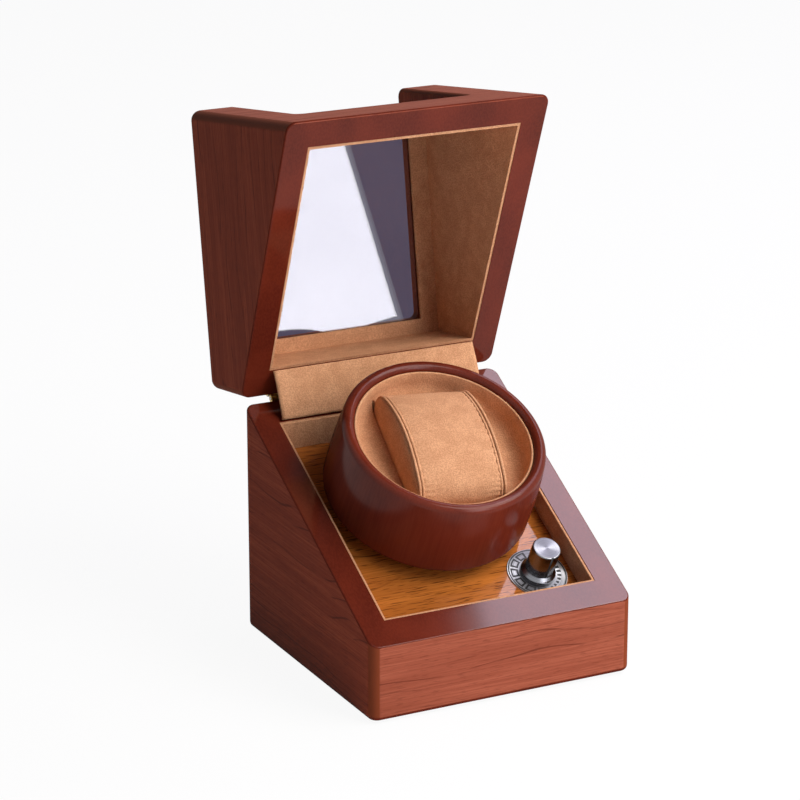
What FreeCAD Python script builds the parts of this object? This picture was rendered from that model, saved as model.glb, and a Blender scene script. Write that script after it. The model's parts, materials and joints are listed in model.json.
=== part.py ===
import FreeCAD, Part
import math
import os
import re
import Sketcher
from FreeCAD import Placement, Rotation, Vector

# Watch winder box: a wooden case with a sloping deck, a turned barrel that a gear motor
# rotates, a velvet watch pillow in the barrel, a mode knob and a hinged lid with a bent
# window. Millimetres, +X to the right, +Y to the rear, +Z up; the origin is the centre of
# the face that the case stands on. The lid is drawn closed and then swung open.

SIZES = {
    # Case
    "box_width": 128,
    "box_depth": 128,
    "closed_height": 143,
    "rear_height": 107,
    "front_height": 35,
    "wall_thickness": 12,
    "corner_round": 4.5,
    "foot_round": 2.5,
    "rim_round": 0.8,
    "parting_gap": 0.4,
    "lining_thickness": 1.2,
    "lining_setback": 0.3,
    # Lid and window
    "lid_open_angle": 98.5,
    "lid_top_thickness": 8.5,
    "window_side_margin": 22,
    "window_rear_margin": 20,
    "window_rail_height": 36,
    "window_corner_round": 3,
    "window_edge_round": 2,
    "pane_thickness": 2.5,
    "pane_overlap": 2.5,
    "pane_bend_radius": 3.5,
    "pane_clearance": 0.2,
    # Bottom
    "felt_thickness": 1,
    "felt_margin": 5,
    "bottom_thickness": 6,
    "block_size": 10,
    "block_height": 8,
    # Deck
    "deck_depth": 11,
    "deck_thickness": 6,
    "cleat_size": 6,
    # Barrel, measured from its axis and from the plane of the rim
    "barrel_side_clearance": 3.5,
    "barrel_rear_clearance": 0.9,
    "barrel_knob_clearance": 7,
    "barrel_neck_draw": 1.2,
    "barrel_roll_radius": 2.9,
    "barrel_lip_reach": 2.6,
    "barrel_lip_drop": 2.1,
    "barrel_lift": 6,
    "barrel_height": 39.1,
    "barrel_straight": 12,
    "barrel_foot_round": 3,
    "barrel_floor_thickness": 6,
    "barrel_turn": -6.4,
    "cup_depth": 11.5,
    "cup_fillet": 6,
    # Pillow
    "pillow_width": 44,
    "pillow_height": 31,
    "pillow_end_share": 0.71,
    "pillow_cover_thickness": 2,
    "pillow_cover_draw": 0.8,
    "pillow_end_thickness": 3,
    "pillow_end_crown": 0.4,
    "pillow_seam_draw": 1.6,
    "pillow_crown_draw": 0.2,
    "pillow_edge_draw": 2.4,
    "pillow_sink": 13.5,
    "pillow_clearance": 0.4,
    # Drive
    "gear_module": 0.75,
    "drum_teeth": 48,
    "pinion_teeth": 16,
    "gear_width": 5,
    "gear_backlash": 0.14,
    "spindle_radius": 3,
    "running_clearance": 0.03,
    "end_play": 0.1,
    "hub_radius": 16,
    "hub_thickness": 3.5,
    "bush_radius": 5,
    "bush_flange_radius": 8,
    "bush_flange_thickness": 1,
    "bush_length": 8,
    "ring_radius": 5,
    "ring_thickness": 0.9,
    "ring_groove_depth": 0.5,
    "output_radius": 1.5,
    "bracket_thickness": 1.5,
    "bracket_gap": 11.5,
    "gearbox_radius": 12,
    "gearbox_length": 14,
    "gearbox_boss_radius": 3.75,
    "motor_radius": 10,
    "motor_length": 20,
    "motor_cap_radius": 4,
    "motor_cap_height": 1.5,
    "spacer_radius": 3,
    # Knob and switch
    "knob_radius": 6.4,
    "knob_skirt_radius": 8,
    "knob_skirt_height": 3,
    "knob_height": 16.1,
    "knob_edge_round": 0.65,
    "pointer_width": 1,
    "pointer_depth": 0.5,
    "plate_radius": 13.8,
    "plate_thickness": 0.6,
    "plate_side_margin": 2.5,
    "plate_front_margin": 4.1,
    "switch_radius": 8,
    "switch_length": 11,
    "switch_thread_radius": 3.5,
    "switch_nut_radius": 5.7,
    "switch_nut_height": 2.2,
    # Control board and power inlet
    "board_edge": 12,
    "board_length": 44,
    "board_width": 36,
    "board_thickness": 1.6,
    "board_lift": 5,
    "chip_size": 9,
    "chip_height": 3.2,
    "capacitor_radius": 3.2,
    "capacitor_height": 9,
    "capacitor_offset": 11,
    "jack_radius": 4,
    "jack_flange_radius": 6.5,
    "jack_flange_thickness": 2,
    "jack_nut_height": 3,
    "jack_tail": 3,
    "jack_socket_radius": 2.8,
    "jack_socket_depth": 11,
    "jack_pin_radius": 1,
    "jack_height": 24,
    "jack_side_margin": 28,
    # Hinges
    "hinge_side_margin": 26,
    "hinge_width": 24,
    "hinge_leaf_height": 14,
    "hinge_leaf_thickness": 0.8,
    "hinge_axis_setback": 1.8,
    "hinge_knuckle_radius": 1.5,
    "hinge_pin_radius": 0.8,
    "hinge_clearance": 0.4,
    "hinge_screw_margin": 2.1,
    "flap_margin": 0.3,
    "flap_clearance": 0.15,
    "flap_thickness": 1.2,
    "flap_bulge": 1.0,
    # Fasteners
    "screw_head_radius": 2.4,
    "screw_head_height": 1.4,
    "screw_shank_radius": 1.2,
    "screw_length": 9,
    "screw_tip_cover": 1.5,
    "small_screw_scale": 0.6,
    "drill_overrun": 1,
}

# Places and sizes that follow from the driving ones. "s" names run up the slope from the
# front edge of the rim, and heights named "off" are measured square to the rim plane.
FORMULAS = {
    "half_width": "box_width / 2",
    "half_depth": "box_depth / 2",
    "inner_x": "half_width - wall_thickness",
    "inner_y": "half_depth - wall_thickness",
    "lined_x": "inner_x - lining_thickness",
    "lined_y": "inner_y - lining_thickness",
    "slope": "atan((rear_height - front_height) / box_depth)",
    "floor_top": "felt_thickness + bottom_thickness",
    "lid_inside_top": "closed_height - lid_top_thickness",
    "window_x": "half_width - window_side_margin",
    "window_rear": "half_depth - window_rear_margin",
    "window_low": "front_height + window_rail_height",
    "pane_inner_y": "0 - inner_y",
    "pane_outer_y": "pane_inner_y - pane_thickness",
    "pane_inner_z": "lid_inside_top",
    "pane_outer_z": "pane_inner_z + pane_thickness",
    "pane_outer_bend": "pane_bend_radius + pane_thickness",
    "deck_top": "0 - deck_depth",
    "deck_under": "deck_top - deck_thickness",
    "barrel_full_off": "barrel_bottom + barrel_foot_round",
    "barrel_rear_y": "lined_y - barrel_rear_clearance",
    "barrel_rear_s": "(half_depth + barrel_rear_y + barrel_full_off * sin(slope)) / cos(slope)",
    "knob_x": "lined_x - plate_radius - plate_side_margin",
    "knob_s": "wall_thickness / cos(slope) + plate_radius + plate_front_margin",
    # The barrel is the largest that clears the side walls, the rear wall and the knob.
    "knob_room": "knob_radius + barrel_knob_clearance",
    "rear_run": "barrel_rear_s - knob_s",
    "radius_by_knob": "(knob_x ^ 2 + rear_run ^ 2 - knob_room ^ 2) / (2 * (rear_run + knob_room))",
    "radius_by_walls": "lined_x - barrel_side_clearance",
    "barrel_radius": "min(radius_by_walls; radius_by_knob)",
    "barrel_neck_radius": "barrel_radius - barrel_neck_draw",
    "barrel_crown_radius": "barrel_neck_radius - barrel_roll_radius",
    "barrel_bore_radius": "barrel_crown_radius - barrel_lip_reach",
    "barrel_bottom": "deck_top + barrel_lift",
    "barrel_top": "barrel_bottom + barrel_height",
    "barrel_s": "barrel_rear_s - barrel_radius",
    "barrel_lip_off": "barrel_top - barrel_lip_drop",
    "barrel_neck_off": "barrel_top - barrel_roll_radius",
    "barrel_floor_top": "barrel_bottom + barrel_floor_thickness",
    "lip_radius": "(barrel_lip_reach ^ 2 + barrel_lip_drop ^ 2) / (2 * barrel_lip_drop)",
    "neck_rise": "barrel_neck_off - barrel_bottom - barrel_straight",
    "neck_radius": "(barrel_neck_draw ^ 2 + neck_rise ^ 2) / (2 * barrel_neck_draw)",
    "cup_radius": "barrel_bore_radius - lining_thickness",
    "cup_floor": "barrel_lip_off - cup_depth",
    "pocket_x": "pillow_width / 2 + pillow_clearance",
    "pocket_s": "sqrt(cup_radius ^ 2 - pocket_x ^ 2)",
    "pillow_length": "2 * (pocket_s - pillow_clearance)",
    "pillow_end_radius": "pillow_end_share * pillow_height / 2",
    "pillow_low": "cup_floor - pillow_sink",
    "pillow_middle": "pillow_low + pillow_height / 2",
    "bush_top": "deck_top + bush_flange_thickness",
    "bush_low": "bush_top - bush_flange_thickness - bush_length",
    "hub_low": "barrel_bottom - hub_thickness",
    "hub_screw_radius": "(hub_radius + bush_flange_radius) / 2",
    "hub_screw_bite": "barrel_floor_thickness - screw_tip_cover",
    "hub_screw_length": "hub_thickness - screw_head_height + hub_screw_bite",
    "gear_boss": "gear_width / 4",
    "gear_top": "bush_low - end_play - gear_boss",
    "gear_low": "gear_top - gear_width",
    "ring_low": "gear_low - ring_thickness",
    "spindle_low": "ring_low - ring_thickness",
    "gear_distance": "gear_module * (drum_teeth + pinion_teeth) / 2",
    "bracket_top": "deck_under - bracket_gap",
    "bracket_low": "bracket_top - bracket_thickness",
    "bracket_reach": "gearbox_radius + 4 * spacer_radius",
    "bracket_inner_reach": "3 * spacer_radius",
    "bracket_screw_bite": "deck_thickness - screw_tip_cover",
    "bracket_screw_length": "bracket_thickness + bracket_gap + bracket_screw_bite",
    "gearbox_low": "bracket_low - gearbox_length",
    "output_low": "gearbox_low + gearbox_length / 2",
    "motor_low": "gearbox_low - motor_length",
    "motor_screw_radius": "(gearbox_boss_radius + gearbox_radius) / 2",
    "plate_top": "deck_top + plate_thickness",
    "knob_low": "plate_top + lining_setback",
    "knob_top": "knob_low + knob_height",
    "switch_low": "deck_under - switch_length",
    "thread_top": "plate_top + switch_nut_height",
    "shaft_low": "switch_low + switch_length / 2",
    "shaft_top": "knob_top - knob_skirt_height",
    "nut_room": "switch_nut_radius + lining_setback",
    "nut_room_top": "knob_low + switch_nut_height",
    "hinge_offset": "half_width - hinge_side_margin",
    "hinge_y": "half_depth + hinge_axis_setback",
    "hinge_z": "rear_height",
    "knuckle_length": "hinge_width / 3",
    "leaf_face": "half_depth + hinge_leaf_thickness",
    "leaf_start": "hinge_knuckle_radius + hinge_clearance",
    "leaf_screw_height": "(leaf_start + hinge_leaf_height) / 2",
    "leaf_screw_step": "hinge_width / 2 - screw_head_radius - hinge_screw_margin",
    "board_x": "board_edge - inner_x",
    "board_y": "board_edge - inner_y",
    "board_middle_x": "board_x + board_length / 2",
    "board_middle_y": "board_y + board_width / 2",
    "board_bottom": "floor_top + board_lift",
    "board_top": "board_bottom + board_thickness",
    "board_screw_bite": "bottom_thickness - screw_tip_cover",
    "board_screw_length": "board_thickness + board_lift + board_screw_bite",
    "jack_offset": "half_width - jack_side_margin",
    "jack_end": "0 - wall_thickness - jack_nut_height - jack_tail",
}

TOUCHING = 1e-4
PRESSURE_ANGLE = math.radians(20)
TOOTH_TIP = 0.9
TOOTH_ROOT = 1.2
FLANK_STEPS = 5

doc = FreeCAD.newDocument("watch_winder_box")
sheet = doc.addObject("Spreadsheet::Sheet", "Sizes")
for row, (alias, default) in enumerate(SIZES.items(), start=1):
    sheet.set(f"A{row}", alias)
    sheet.set(f"B{row}", str(default))
    sheet.setAlias(f"B{row}", alias)
doc.recompute()

nodes = {}


def expand(text):
    """Turn a formula in plain names into one that reads the sheet's cells."""

    def swap(match):
        word = match.group(0)
        if word in SIZES:
            return f"Sizes.{word}"
        if word in FORMULAS:
            return f"({expand(FORMULAS[word])})"
        return word

    return re.sub(r"[a-z][a-z0-9_]*", swap, text)


def number(text):
    """Value of a formula in millimetres or degrees."""
    result = sheet.evalExpression(expand(text))
    return float(getattr(result, "Value", result))


def bind(item, prop, text):
    item.setExpression(prop, expand(text))


def spot(x, y, z):
    return Vector(number(x), number(y), number(z))


def seat(item, place, frame):
    """Put a primitive at a place: in the case's own frame by formula, or in another frame."""
    if frame is not None:
        item.Placement = frame * Placement(spot(*place), Rotation())
        return item
    for axis, text in zip("xyz", place):
        bind(item, f".Placement.Base.{axis}", text)
    return item


def box(name, low, high, frame=None):
    """Block between two corners, each given as three formulas."""
    block = doc.addObject("Part::Box", name)
    for prop, start, end in zip(("Length", "Width", "Height"), low, high):
        bind(block, prop, f"({end}) - ({start})")
    return seat(block, low, frame)


def rod(name, radius, bottom, top, x="0", y="0", frame=None):
    """Upright cylinder between two heights."""
    cylinder = doc.addObject("Part::Cylinder", name)
    bind(cylinder, "Radius", radius)
    bind(cylinder, "Height", f"({top}) - ({bottom})")
    return seat(cylinder, (x, y, bottom), frame)


def hexagon(name, radius, bottom, top):
    """Upright six-sided prism between two heights."""
    prism = doc.addObject("Part::Prism", name)
    prism.Polygon = 6
    bind(prism, "Circumradius", radius)
    bind(prism, "Height", f"({top}) - ({bottom})")
    return seat(prism, ("0", "0", bottom), None)


def cut(name, base, tool):
    result = doc.addObject("Part::Cut", name)
    result.Base = base
    result.Tool = tool
    return result


def common(name, first, second):
    result = doc.addObject("Part::Common", name)
    result.Base = first
    result.Tool = second
    return result


def fuse(name, shapes):
    result = doc.addObject("Part::MultiFuse", name)
    result.Shapes = shapes
    return result


def group(name, links):
    result = doc.addObject("Part::Compound", name)
    result.Links = links
    return result


def rounded(name, base, radius, wanted):
    """Round every edge of a solid that the test picks."""
    doc.recompute()
    result = doc.addObject("Part::Fillet", name)
    result.Base = base
    size = number(radius)
    picked = [i for i, edge in enumerate(base.Shape.Edges, start=1) if wanted(edge)]
    result.Edges = [(index, size, size) for index in picked]
    return result


def node(label, item, placement=None):
    """Keep an object as a finished sub-part, moved from its drawing frame to its place."""
    item.Label = label
    if placement is not None:
        item.Placement = placement * item.Placement
    nodes[label] = item
    return item


def arc_between(start, end, radius, turns_left):
    """Arc of under half a circle from one sketch point to the next."""
    chord = end - start
    half = chord.Length / 2
    normal = Vector(-chord.y, chord.x, 0).normalize()
    reach = math.sqrt(max(radius ** 2 - half ** 2, 0))
    centre = (start + end) / 2 + normal * (reach if turns_left else -reach)
    first, last = (start, end) if turns_left else (end, start)
    angles = [math.atan2(p.y - centre.y, p.x - centre.x) for p in (first, last)]
    circle = Part.Circle(centre, Vector(0, 0, 1), radius)
    return Part.ArcOfCircle(circle, angles[0], angles[1])


def outline(body, role, corners):
    """Closed sketch on an origin plane. Each corner is (x, y) and goes on as a line, or
    (x, y, radius) and goes on as an arc: turning left, or right with a leading minus."""
    sketch = body.newObject("Sketcher::SketchObject", body.Name + "Sketch")
    plane = [f for f in body.Origin.OriginFeatures if f.Role == role][0]
    sketch.AttachmentSupport = [(plane, "")]
    sketch.MapMode = "FlatFace"
    points = [Vector(number(c[0]), number(c[1]), 0) for c in corners]
    ends = []
    for index, corner in enumerate(corners):
        start = points[index]
        end = points[(index + 1) % len(points)]
        if len(corner) == 2:
            sketch.addGeometry(Part.LineSegment(start, end), False)
            ends.append((1, 2))
            continue
        turns_left = not corner[2].startswith("-")
        radius = number(corner[2].lstrip("-"))
        sketch.addGeometry(arc_between(start, end, radius, turns_left), False)
        ends.append((1, 2) if turns_left else (2, 1))
    for index in range(len(corners)):
        following = (index + 1) % len(corners)
        last, first = ends[index][1], ends[following][0]
        sketch.addConstraint(Sketcher.Constraint("Coincident", index, last, following, first))
    for index, corner in enumerate(corners):
        for kind, place in (("DistanceX", corner[0]), ("DistanceY", corner[1])):
            rule = Sketcher.Constraint(kind, -1, 1, index, ends[index][0], number(place))
            bind(sketch, f"Constraints[{sketch.addConstraint(rule)}]", place)
        if len(corner) == 3:
            radius = corner[2].lstrip("-")
            rule = Sketcher.Constraint("Radius", index, number(radius))
            bind(sketch, f"Constraints[{sketch.addConstraint(rule)}]", radius)
    return sketch


def turned(name, corners):
    """Body turned about its own Z axis from a half profile of radius and height."""
    body = doc.addObject("PartDesign::Body", name)
    sketch = outline(body, "XZ_Plane", corners)
    turn = body.newObject("PartDesign::Revolution", name + "Turn")
    turn.Profile = sketch
    turn.ReferenceAxis = (sketch, ["V_Axis"])
    turn.Angle = 360
    return body


def pad_across(name, corners, width):
    """Body of one side profile (Y, Z) padded evenly to the left and right."""
    body = doc.addObject("PartDesign::Body", name)
    sketch = outline(body, "YZ_Plane", corners)
    pad = body.newObject("PartDesign::Pad", name + "Pad")
    pad.Profile = sketch
    pad.Midplane = True
    bind(pad, "Length", width)
    return body


def screws(name, places, length="screw_length", scale="1"):
    """Group of equal screws; each place has its head on top and its shank pointing down."""
    made = []
    for index, place in enumerate(places):
        head_height = f"screw_head_height * {scale}"
        head = rod(f"{name}Head{index}", f"screw_head_radius * {scale}", "0", head_height)
        shank = rod(f"{name}Shank{index}", f"screw_shank_radius * {scale}", f"0 - ({length})", "0")
        screw = fuse(f"{name}{index}", [head, shank])
        screw.Placement = place
        made.append(screw)
    return group(name, made)


slope_angle = number("slope")
rim_tilt = Rotation(Vector(1, 0, 0), slope_angle)
rim_frame = Placement(spot("0", "0 - half_depth", "front_height"), rim_tilt)
hinge_point = spot("0", "hinge_y", "hinge_z")
lid_swing = Rotation(Vector(1, 0, 0), -number("lid_open_angle"))
lid_frame = Placement(hinge_point, lid_swing) * Placement(hinge_point.negative(), Rotation())
barrel_axis = Placement(spot("0", "barrel_s", "0"), Rotation())
barrel_frame = rim_frame * barrel_axis
turned_frame = barrel_frame * Placement(Vector(), Rotation(Vector(0, 0, 1), number("barrel_turn")))
knob_frame = rim_frame * Placement(spot("knob_x", "knob_s", "0"), Rotation())
pinion_frame = barrel_frame * Placement(spot("gear_distance", "0", "0"), Rotation())
head_down = Rotation(Vector(1, 0, 0), 180)
head_rear = Rotation(Vector(1, 0, 0), -90)
along_x = Rotation(Vector(0, 1, 0), 90)


def on_rim(name, low_off, high_off):
    """Slab parallel to the rim plane, wider than the case, between two offsets."""
    reach = "closed_height + box_depth + box_width"
    low = (f"0 - ({reach})", f"0 - ({reach})", low_off)
    high = (reach, f"2 * ({reach})", high_off)
    return box(name, low, high, rim_frame)


def same(first, second):
    return abs(first - second) < TOUCHING


def flat_at(edge, height):
    return all(same(vertex.Z, height) for vertex in edge.Vertexes)


def upright(edge):
    start, end = edge.Vertexes[0], edge.Vertexes[-1]
    return same(start.X, end.X) and same(start.Y, end.Y)


def in_rim(offset):
    """Test for edges that lie in a plane parallel to the rim."""
    normal = rim_frame.Rotation.multVec(Vector(0, 0, 1))

    def test(edge):
        return all(same((v.Point - rim_frame.Base).dot(normal), offset) for v in edge.Vertexes)

    return test


above_rim = "closed_height + box_depth"
case_low = ("0 - half_width", "0 - half_depth", "felt_thickness")
case_high = ("half_width", "half_depth", "closed_height")

# Base: one rounded block cut along the slope, shared out between its four walls.
base_block = box("BaseBlock", case_low, case_high)
base_posts = rounded("BasePosts", base_block, "corner_round", upright)
foot_height = number("felt_thickness")
base_foot = rounded("BaseFoot", base_posts, "foot_round", lambda edge: flat_at(edge, foot_height))
base_cut = cut("BaseSlope", base_foot, on_rim("AboveRim", "0", above_rim))
base_shell = rounded("BaseShell", base_cut, "rim_round", in_rim(0))

jack_place = Placement(spot("0 - jack_offset", "half_depth", "jack_height"), head_rear)
hinge_sides = {"left": "0 - hinge_offset", "right": "hinge_offset"}


def leaf_places(sign):
    """Two screw places on each leaf, on the base for sign -1 and on the lid for sign 1."""
    places = []
    for x in hinge_sides.values():
        for step in (-1, 1):
            across = f"{x} + {step} * leaf_screw_step"
            point = spot(across, "leaf_face", f"hinge_z + {sign} * leaf_screw_height")
            places.append(Placement(point, head_rear))
    return places


base_hinge_screws = screws("BaseHingeScrews", leaf_places(-1))
lid_hinge_screws = screws("LidHingeScrews", leaf_places(1))
wall_spans = {"left": ("0 - half_width", "0 - inner_x"), "right": ("inner_x", "half_width")}
for side, (start, end) in wall_spans.items():
    slab = box(f"BaseSlab_{side}", (start, "0 - half_depth", "0"), (end, "half_depth", "closed_height"))
    node(f"base_{side}_wall", common(f"BaseWall_{side}", base_shell, slab))
front_low = ("0 - inner_x", "0 - half_depth", "0")
front_slab = box("BaseSlabFront", front_low, ("inner_x", "0 - inner_y", "closed_height"))
node("base_front_wall", common("BaseWallFront", base_shell, front_slab))
rear_low = ("0 - inner_x", "inner_y", "0")
rear_slab = box("BaseSlabRear", rear_low, ("inner_x", "half_depth", "closed_height"))
rear_blank = common("BaseWallRearBlank", base_shell, rear_slab)
jack_hole = rod("JackHole", "jack_radius", "jack_end", "drill_overrun", frame=jack_place)
rear_drilled = cut("BaseWallRearDrilled", rear_blank, jack_hole)
node("base_rear_wall", cut("BaseWallRear", rear_drilled, base_hinge_screws))
node("hinge_base_screws", base_hinge_screws)

# Bottom: panel between the walls, glue blocks in the corners, screws and a felt sheet.
block_ends_x = ("inner_x", "block_size - inner_x")
block_ends_y = ("inner_y", "block_size - inner_y")
block_spots = [(x, y) for x in block_ends_x for y in block_ends_y]
block_list = []
bottom_places = []
for index, (x, y) in enumerate(block_spots):
    block_low = (f"{x} - block_size", f"{y} - block_size", "floor_top")
    block_list.append(box(f"Block{index}", block_low, (x, y, "floor_top + block_height")))
    middle = (f"{x} - block_size / 2", f"{y} - block_size / 2", "felt_thickness + screw_head_height")
    bottom_places.append(Placement(spot(*middle), head_down))
bottom_screws = screws("BottomScrews", bottom_places)
node("bottom_screws", bottom_screws)
node("corner_blocks", cut("CornerBlocks", group("CornerBlockBlanks", block_list), bottom_screws))
bottom_low = ("0 - inner_x", "0 - inner_y", "felt_thickness")
bottom_blank = box("BottomBlank", bottom_low, ("inner_x", "inner_y", "floor_top"))
felt_low = ("felt_margin - half_width", "felt_margin - half_depth", "0")
felt_high = ("half_width - felt_margin", "half_depth - felt_margin", "felt_thickness")
felt_sheet = box("FeltSheet", felt_low, felt_high)
node("bottom_felt", rounded("BottomFelt", felt_sheet, "corner_round", upright))

# Deck: sloping panel on cleats, drilled for the spindle, the switch and the bracket screws.
spacer_columns = ("gear_distance - spacer_radius", "gear_distance + gearbox_radius - 2 * spacer_radius")
spacer_rows = ("gearbox_radius + 2 * spacer_radius", "0 - gearbox_radius - 2 * spacer_radius")
spacer_spots = [(x, y) for x in spacer_columns for y in spacer_rows]
bracket_places = [
    barrel_frame * Placement(spot(x, y, "bracket_low"), head_down) for x, y in spacer_spots
]
bracket_screws = screws("BracketScrews", bracket_places, "bracket_screw_length")
deck_room = box("DeckRoom", ("0 - inner_x", "0 - inner_y", "0"), ("inner_x", "inner_y", "closed_height"))
deck_sheet = common("DeckSheet", on_rim("DeckSlab", "deck_under", "deck_top"), deck_room)
drill_low = "deck_under - drill_overrun"
drill_high = "deck_top + drill_overrun"
bush_hole = rod("BushHole", "bush_radius", drill_low, drill_high, frame=barrel_frame)
switch_hole = rod("SwitchHole", "switch_thread_radius", drill_low, drill_high, frame=knob_frame)
deck_tools = fuse("DeckTools", [bush_hole, switch_hole, bracket_screws])
node("deck_panel", cut("DeckPanel", deck_sheet, deck_tools))
node("bracket_screws", bracket_screws)
cleats = []
cleat_spans = {
    "left": ("0 - inner_x", "cleat_size - inner_x"),
    "right": ("inner_x - cleat_size", "inner_x"),
}
for side, (start, end) in cleat_spans.items():
    room = box(f"CleatRoom_{side}", (start, "0 - inner_y", "0"), (end, "inner_y", "closed_height"))
    slab = on_rim(f"CleatSlab_{side}", "deck_under - cleat_size", "deck_under")
    cleats.append(common(f"Cleat_{side}", slab, room))
node("deck_cleats", group("DeckCleats", cleats))


def lining_ring(name, low_z, high_z):
    """Upright velvet band, one lining thick, that goes round the inside of the walls."""
    outer_low = ("0 - inner_x", "0 - inner_y", low_z)
    inner_low = ("0 - lined_x", "0 - lined_y", low_z)
    outer = box(f"{name}Outer", outer_low, ("inner_x", "inner_y", high_z))
    inner = box(f"{name}Inner", inner_low, ("lined_x", "lined_y", high_z))
    return cut(f"{name}Ring", outer, inner)


recess_slab = on_rim("RecessSlab", "deck_top", "0 - lining_setback")
recess_ring = lining_ring("Recess", "0", "closed_height")
node("recess_lining", common("RecessLining", recess_ring, recess_slab))

# Barrel: turned wooden tube and floor, velvet band, a pad with the pillow's pocket, and a
# padded roll in the corner between pad and band.
shell_profile = [
    ("barrel_bore_radius", "barrel_bottom"),
    ("barrel_radius - barrel_foot_round", "barrel_bottom", "barrel_foot_round"),
    ("barrel_radius", "barrel_full_off"),
    ("barrel_radius", "barrel_bottom + barrel_straight", "neck_radius"),
    ("barrel_neck_radius", "barrel_neck_off", "barrel_roll_radius"),
    ("barrel_crown_radius", "barrel_top", "lip_radius"),
    ("barrel_bore_radius", "barrel_lip_off"),
]
node("barrel_shell", turned("BarrelShell", shell_profile), barrel_frame)
hub_places = []
hub_head = spot("hub_screw_radius", "0", "hub_low + screw_head_height")
for angle in (0, 120, 240):
    spin = Placement(Vector(), Rotation(Vector(0, 0, 1), angle))
    hub_places.append(barrel_frame * spin * Placement(hub_head, head_down))
hub_screws = screws("HubScrews", hub_places, "hub_screw_length")
floor_span = ("barrel_bottom", "barrel_floor_top")
floor_disc = rod("FloorDisc", "barrel_bore_radius", *floor_span, frame=barrel_frame)
node("barrel_floor", cut("BarrelFloor", floor_disc, hub_screws))
node("hub_screws", hub_screws)
band_span = ("cup_floor + cup_fillet", "barrel_lip_off - lining_setback")
band_outer = rod("BandOuter", "barrel_bore_radius", *band_span)
band_inner = rod("BandInner", "cup_radius", *band_span)
node("barrel_lining", cut("BarrelLining", band_outer, band_inner), barrel_frame)
roll_profile = [
    ("barrel_bore_radius", "cup_floor"),
    ("barrel_bore_radius", "cup_floor + cup_fillet"),
    ("cup_radius", "cup_floor + cup_fillet", "-cup_fillet"),
    ("cup_radius - cup_fillet", "cup_floor"),
]
roll_blank = turned("RollBlank", roll_profile)
pad_blank = rod("PadBlank", "barrel_bore_radius", "barrel_floor_top", "cup_floor")
pocket_low = ("0 - pocket_x", "0 - pocket_s", "pillow_low - lining_setback")
pocket = box("PillowPocket", pocket_low, ("pocket_x", "pocket_s", "barrel_top"))
node("barrel_cup", cut("BarrelCup", pad_blank, pocket), turned_frame)
node("barrel_roll", cut("BarrelRoll", roll_blank, pocket), turned_frame)

# Pillow: velvet saddle and two padded ends sewn round a foam core, oval from the side.


def oval(x, half_length, half_height):
    """Oval wire across the pillow: a broad arc above and below and a tight one at each end."""
    middle = number("pillow_middle")
    end = number("pillow_end_radius")
    reach = half_length - end
    broad = (reach ** 2 + half_height ** 2 - end ** 2) / (2 * (half_height - end))
    lean = math.atan2(reach, broad - half_height)
    tip_y = reach + end * math.sin(lean)
    tip_z = end * math.cos(lean)

    def at(y, z):
        return Vector(x, y, middle + z)

    edges = [
        Part.Arc(at(tip_y, tip_z), at(0, half_height), at(-tip_y, tip_z)).toShape(),
        Part.Arc(at(-tip_y, tip_z), at(-half_length, 0), at(-tip_y, -tip_z)).toShape(),
        Part.Arc(at(-tip_y, -tip_z), at(0, -half_height), at(tip_y, -tip_z)).toShape(),
        Part.Arc(at(tip_y, -tip_z), at(half_length, 0), at(tip_y, tip_z)).toShape(),
    ]
    return Part.Wire(edges)


def feature(name, shape):
    item = doc.addObject("Part::Feature", name)
    item.Shape = shape
    return item


def pillow_section(x, draw):
    return oval(x, number("pillow_length / 2") - draw, number("pillow_height / 2") - draw)


cover_x = number("pillow_width / 2 - pillow_end_thickness")
cover_draw = number("pillow_cover_draw")
core_wire = pillow_section(-cover_x, number("pillow_cover_draw + pillow_cover_thickness"))
core_shape = Part.Face(core_wire).extrude(Vector(2 * cover_x, 0, 0))
saddle_steps = ((-cover_x, cover_draw), (0, 0), (cover_x, cover_draw))
saddle = Part.makeLoft([pillow_section(x, draw) for x, draw in saddle_steps], True)
node("pillow_core", feature("PillowCore", core_shape), turned_frame)
node("pillow_cover", feature("PillowCover", saddle.cut(core_shape)), turned_frame)
end_steps = [
    (cover_x, number("pillow_seam_draw")),
    (cover_x + number("pillow_end_crown * pillow_end_thickness"), number("pillow_crown_draw")),
    (number("pillow_width / 2"), number("pillow_edge_draw")),
]
for side, sign in (("left", -1), ("right", 1)):
    end_loft = Part.makeLoft([pillow_section(sign * x, draw) for x, draw in end_steps], True)
    node(f"pillow_{side}_end", feature(f"PillowEnd_{side}", end_loft), turned_frame)

# Drive: spindle on a flanged bush, drum gear under the deck, pinion and geared motor.
spindle_profile = [
    ("0", "spindle_low"),
    ("spindle_radius", "spindle_low"),
    ("spindle_radius", "ring_low"),
    ("spindle_radius - ring_groove_depth", "ring_low"),
    ("spindle_radius - ring_groove_depth", "gear_low"),
    ("spindle_radius", "gear_low"),
    ("spindle_radius", "hub_low"),
    ("hub_radius", "hub_low"),
    ("hub_radius", "barrel_bottom"),
    ("0", "barrel_bottom"),
]
spindle_blank = turned("SpindleBlank", spindle_profile)
spindle_blank.Placement = barrel_frame
node("spindle", cut("Spindle", spindle_blank, hub_screws))
bore = "spindle_radius + running_clearance"
bush_profile = [
    (bore, "bush_low"),
    ("bush_radius", "bush_low"),
    ("bush_radius", "deck_top"),
    ("bush_flange_radius", "deck_top"),
    ("bush_flange_radius", "bush_top"),
    (bore, "bush_top"),
]
node("spindle_bush", turned("SpindleBush", bush_profile), barrel_frame)
washer_outer = rod("WasherOuter", "bush_flange_radius", "bush_top", "hub_low - end_play")
washer_inner = rod("WasherInner", bore, "bush_top", "hub_low - end_play")
node("thrust_washer", cut("ThrustWasher", washer_outer, washer_inner), barrel_frame)
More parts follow.
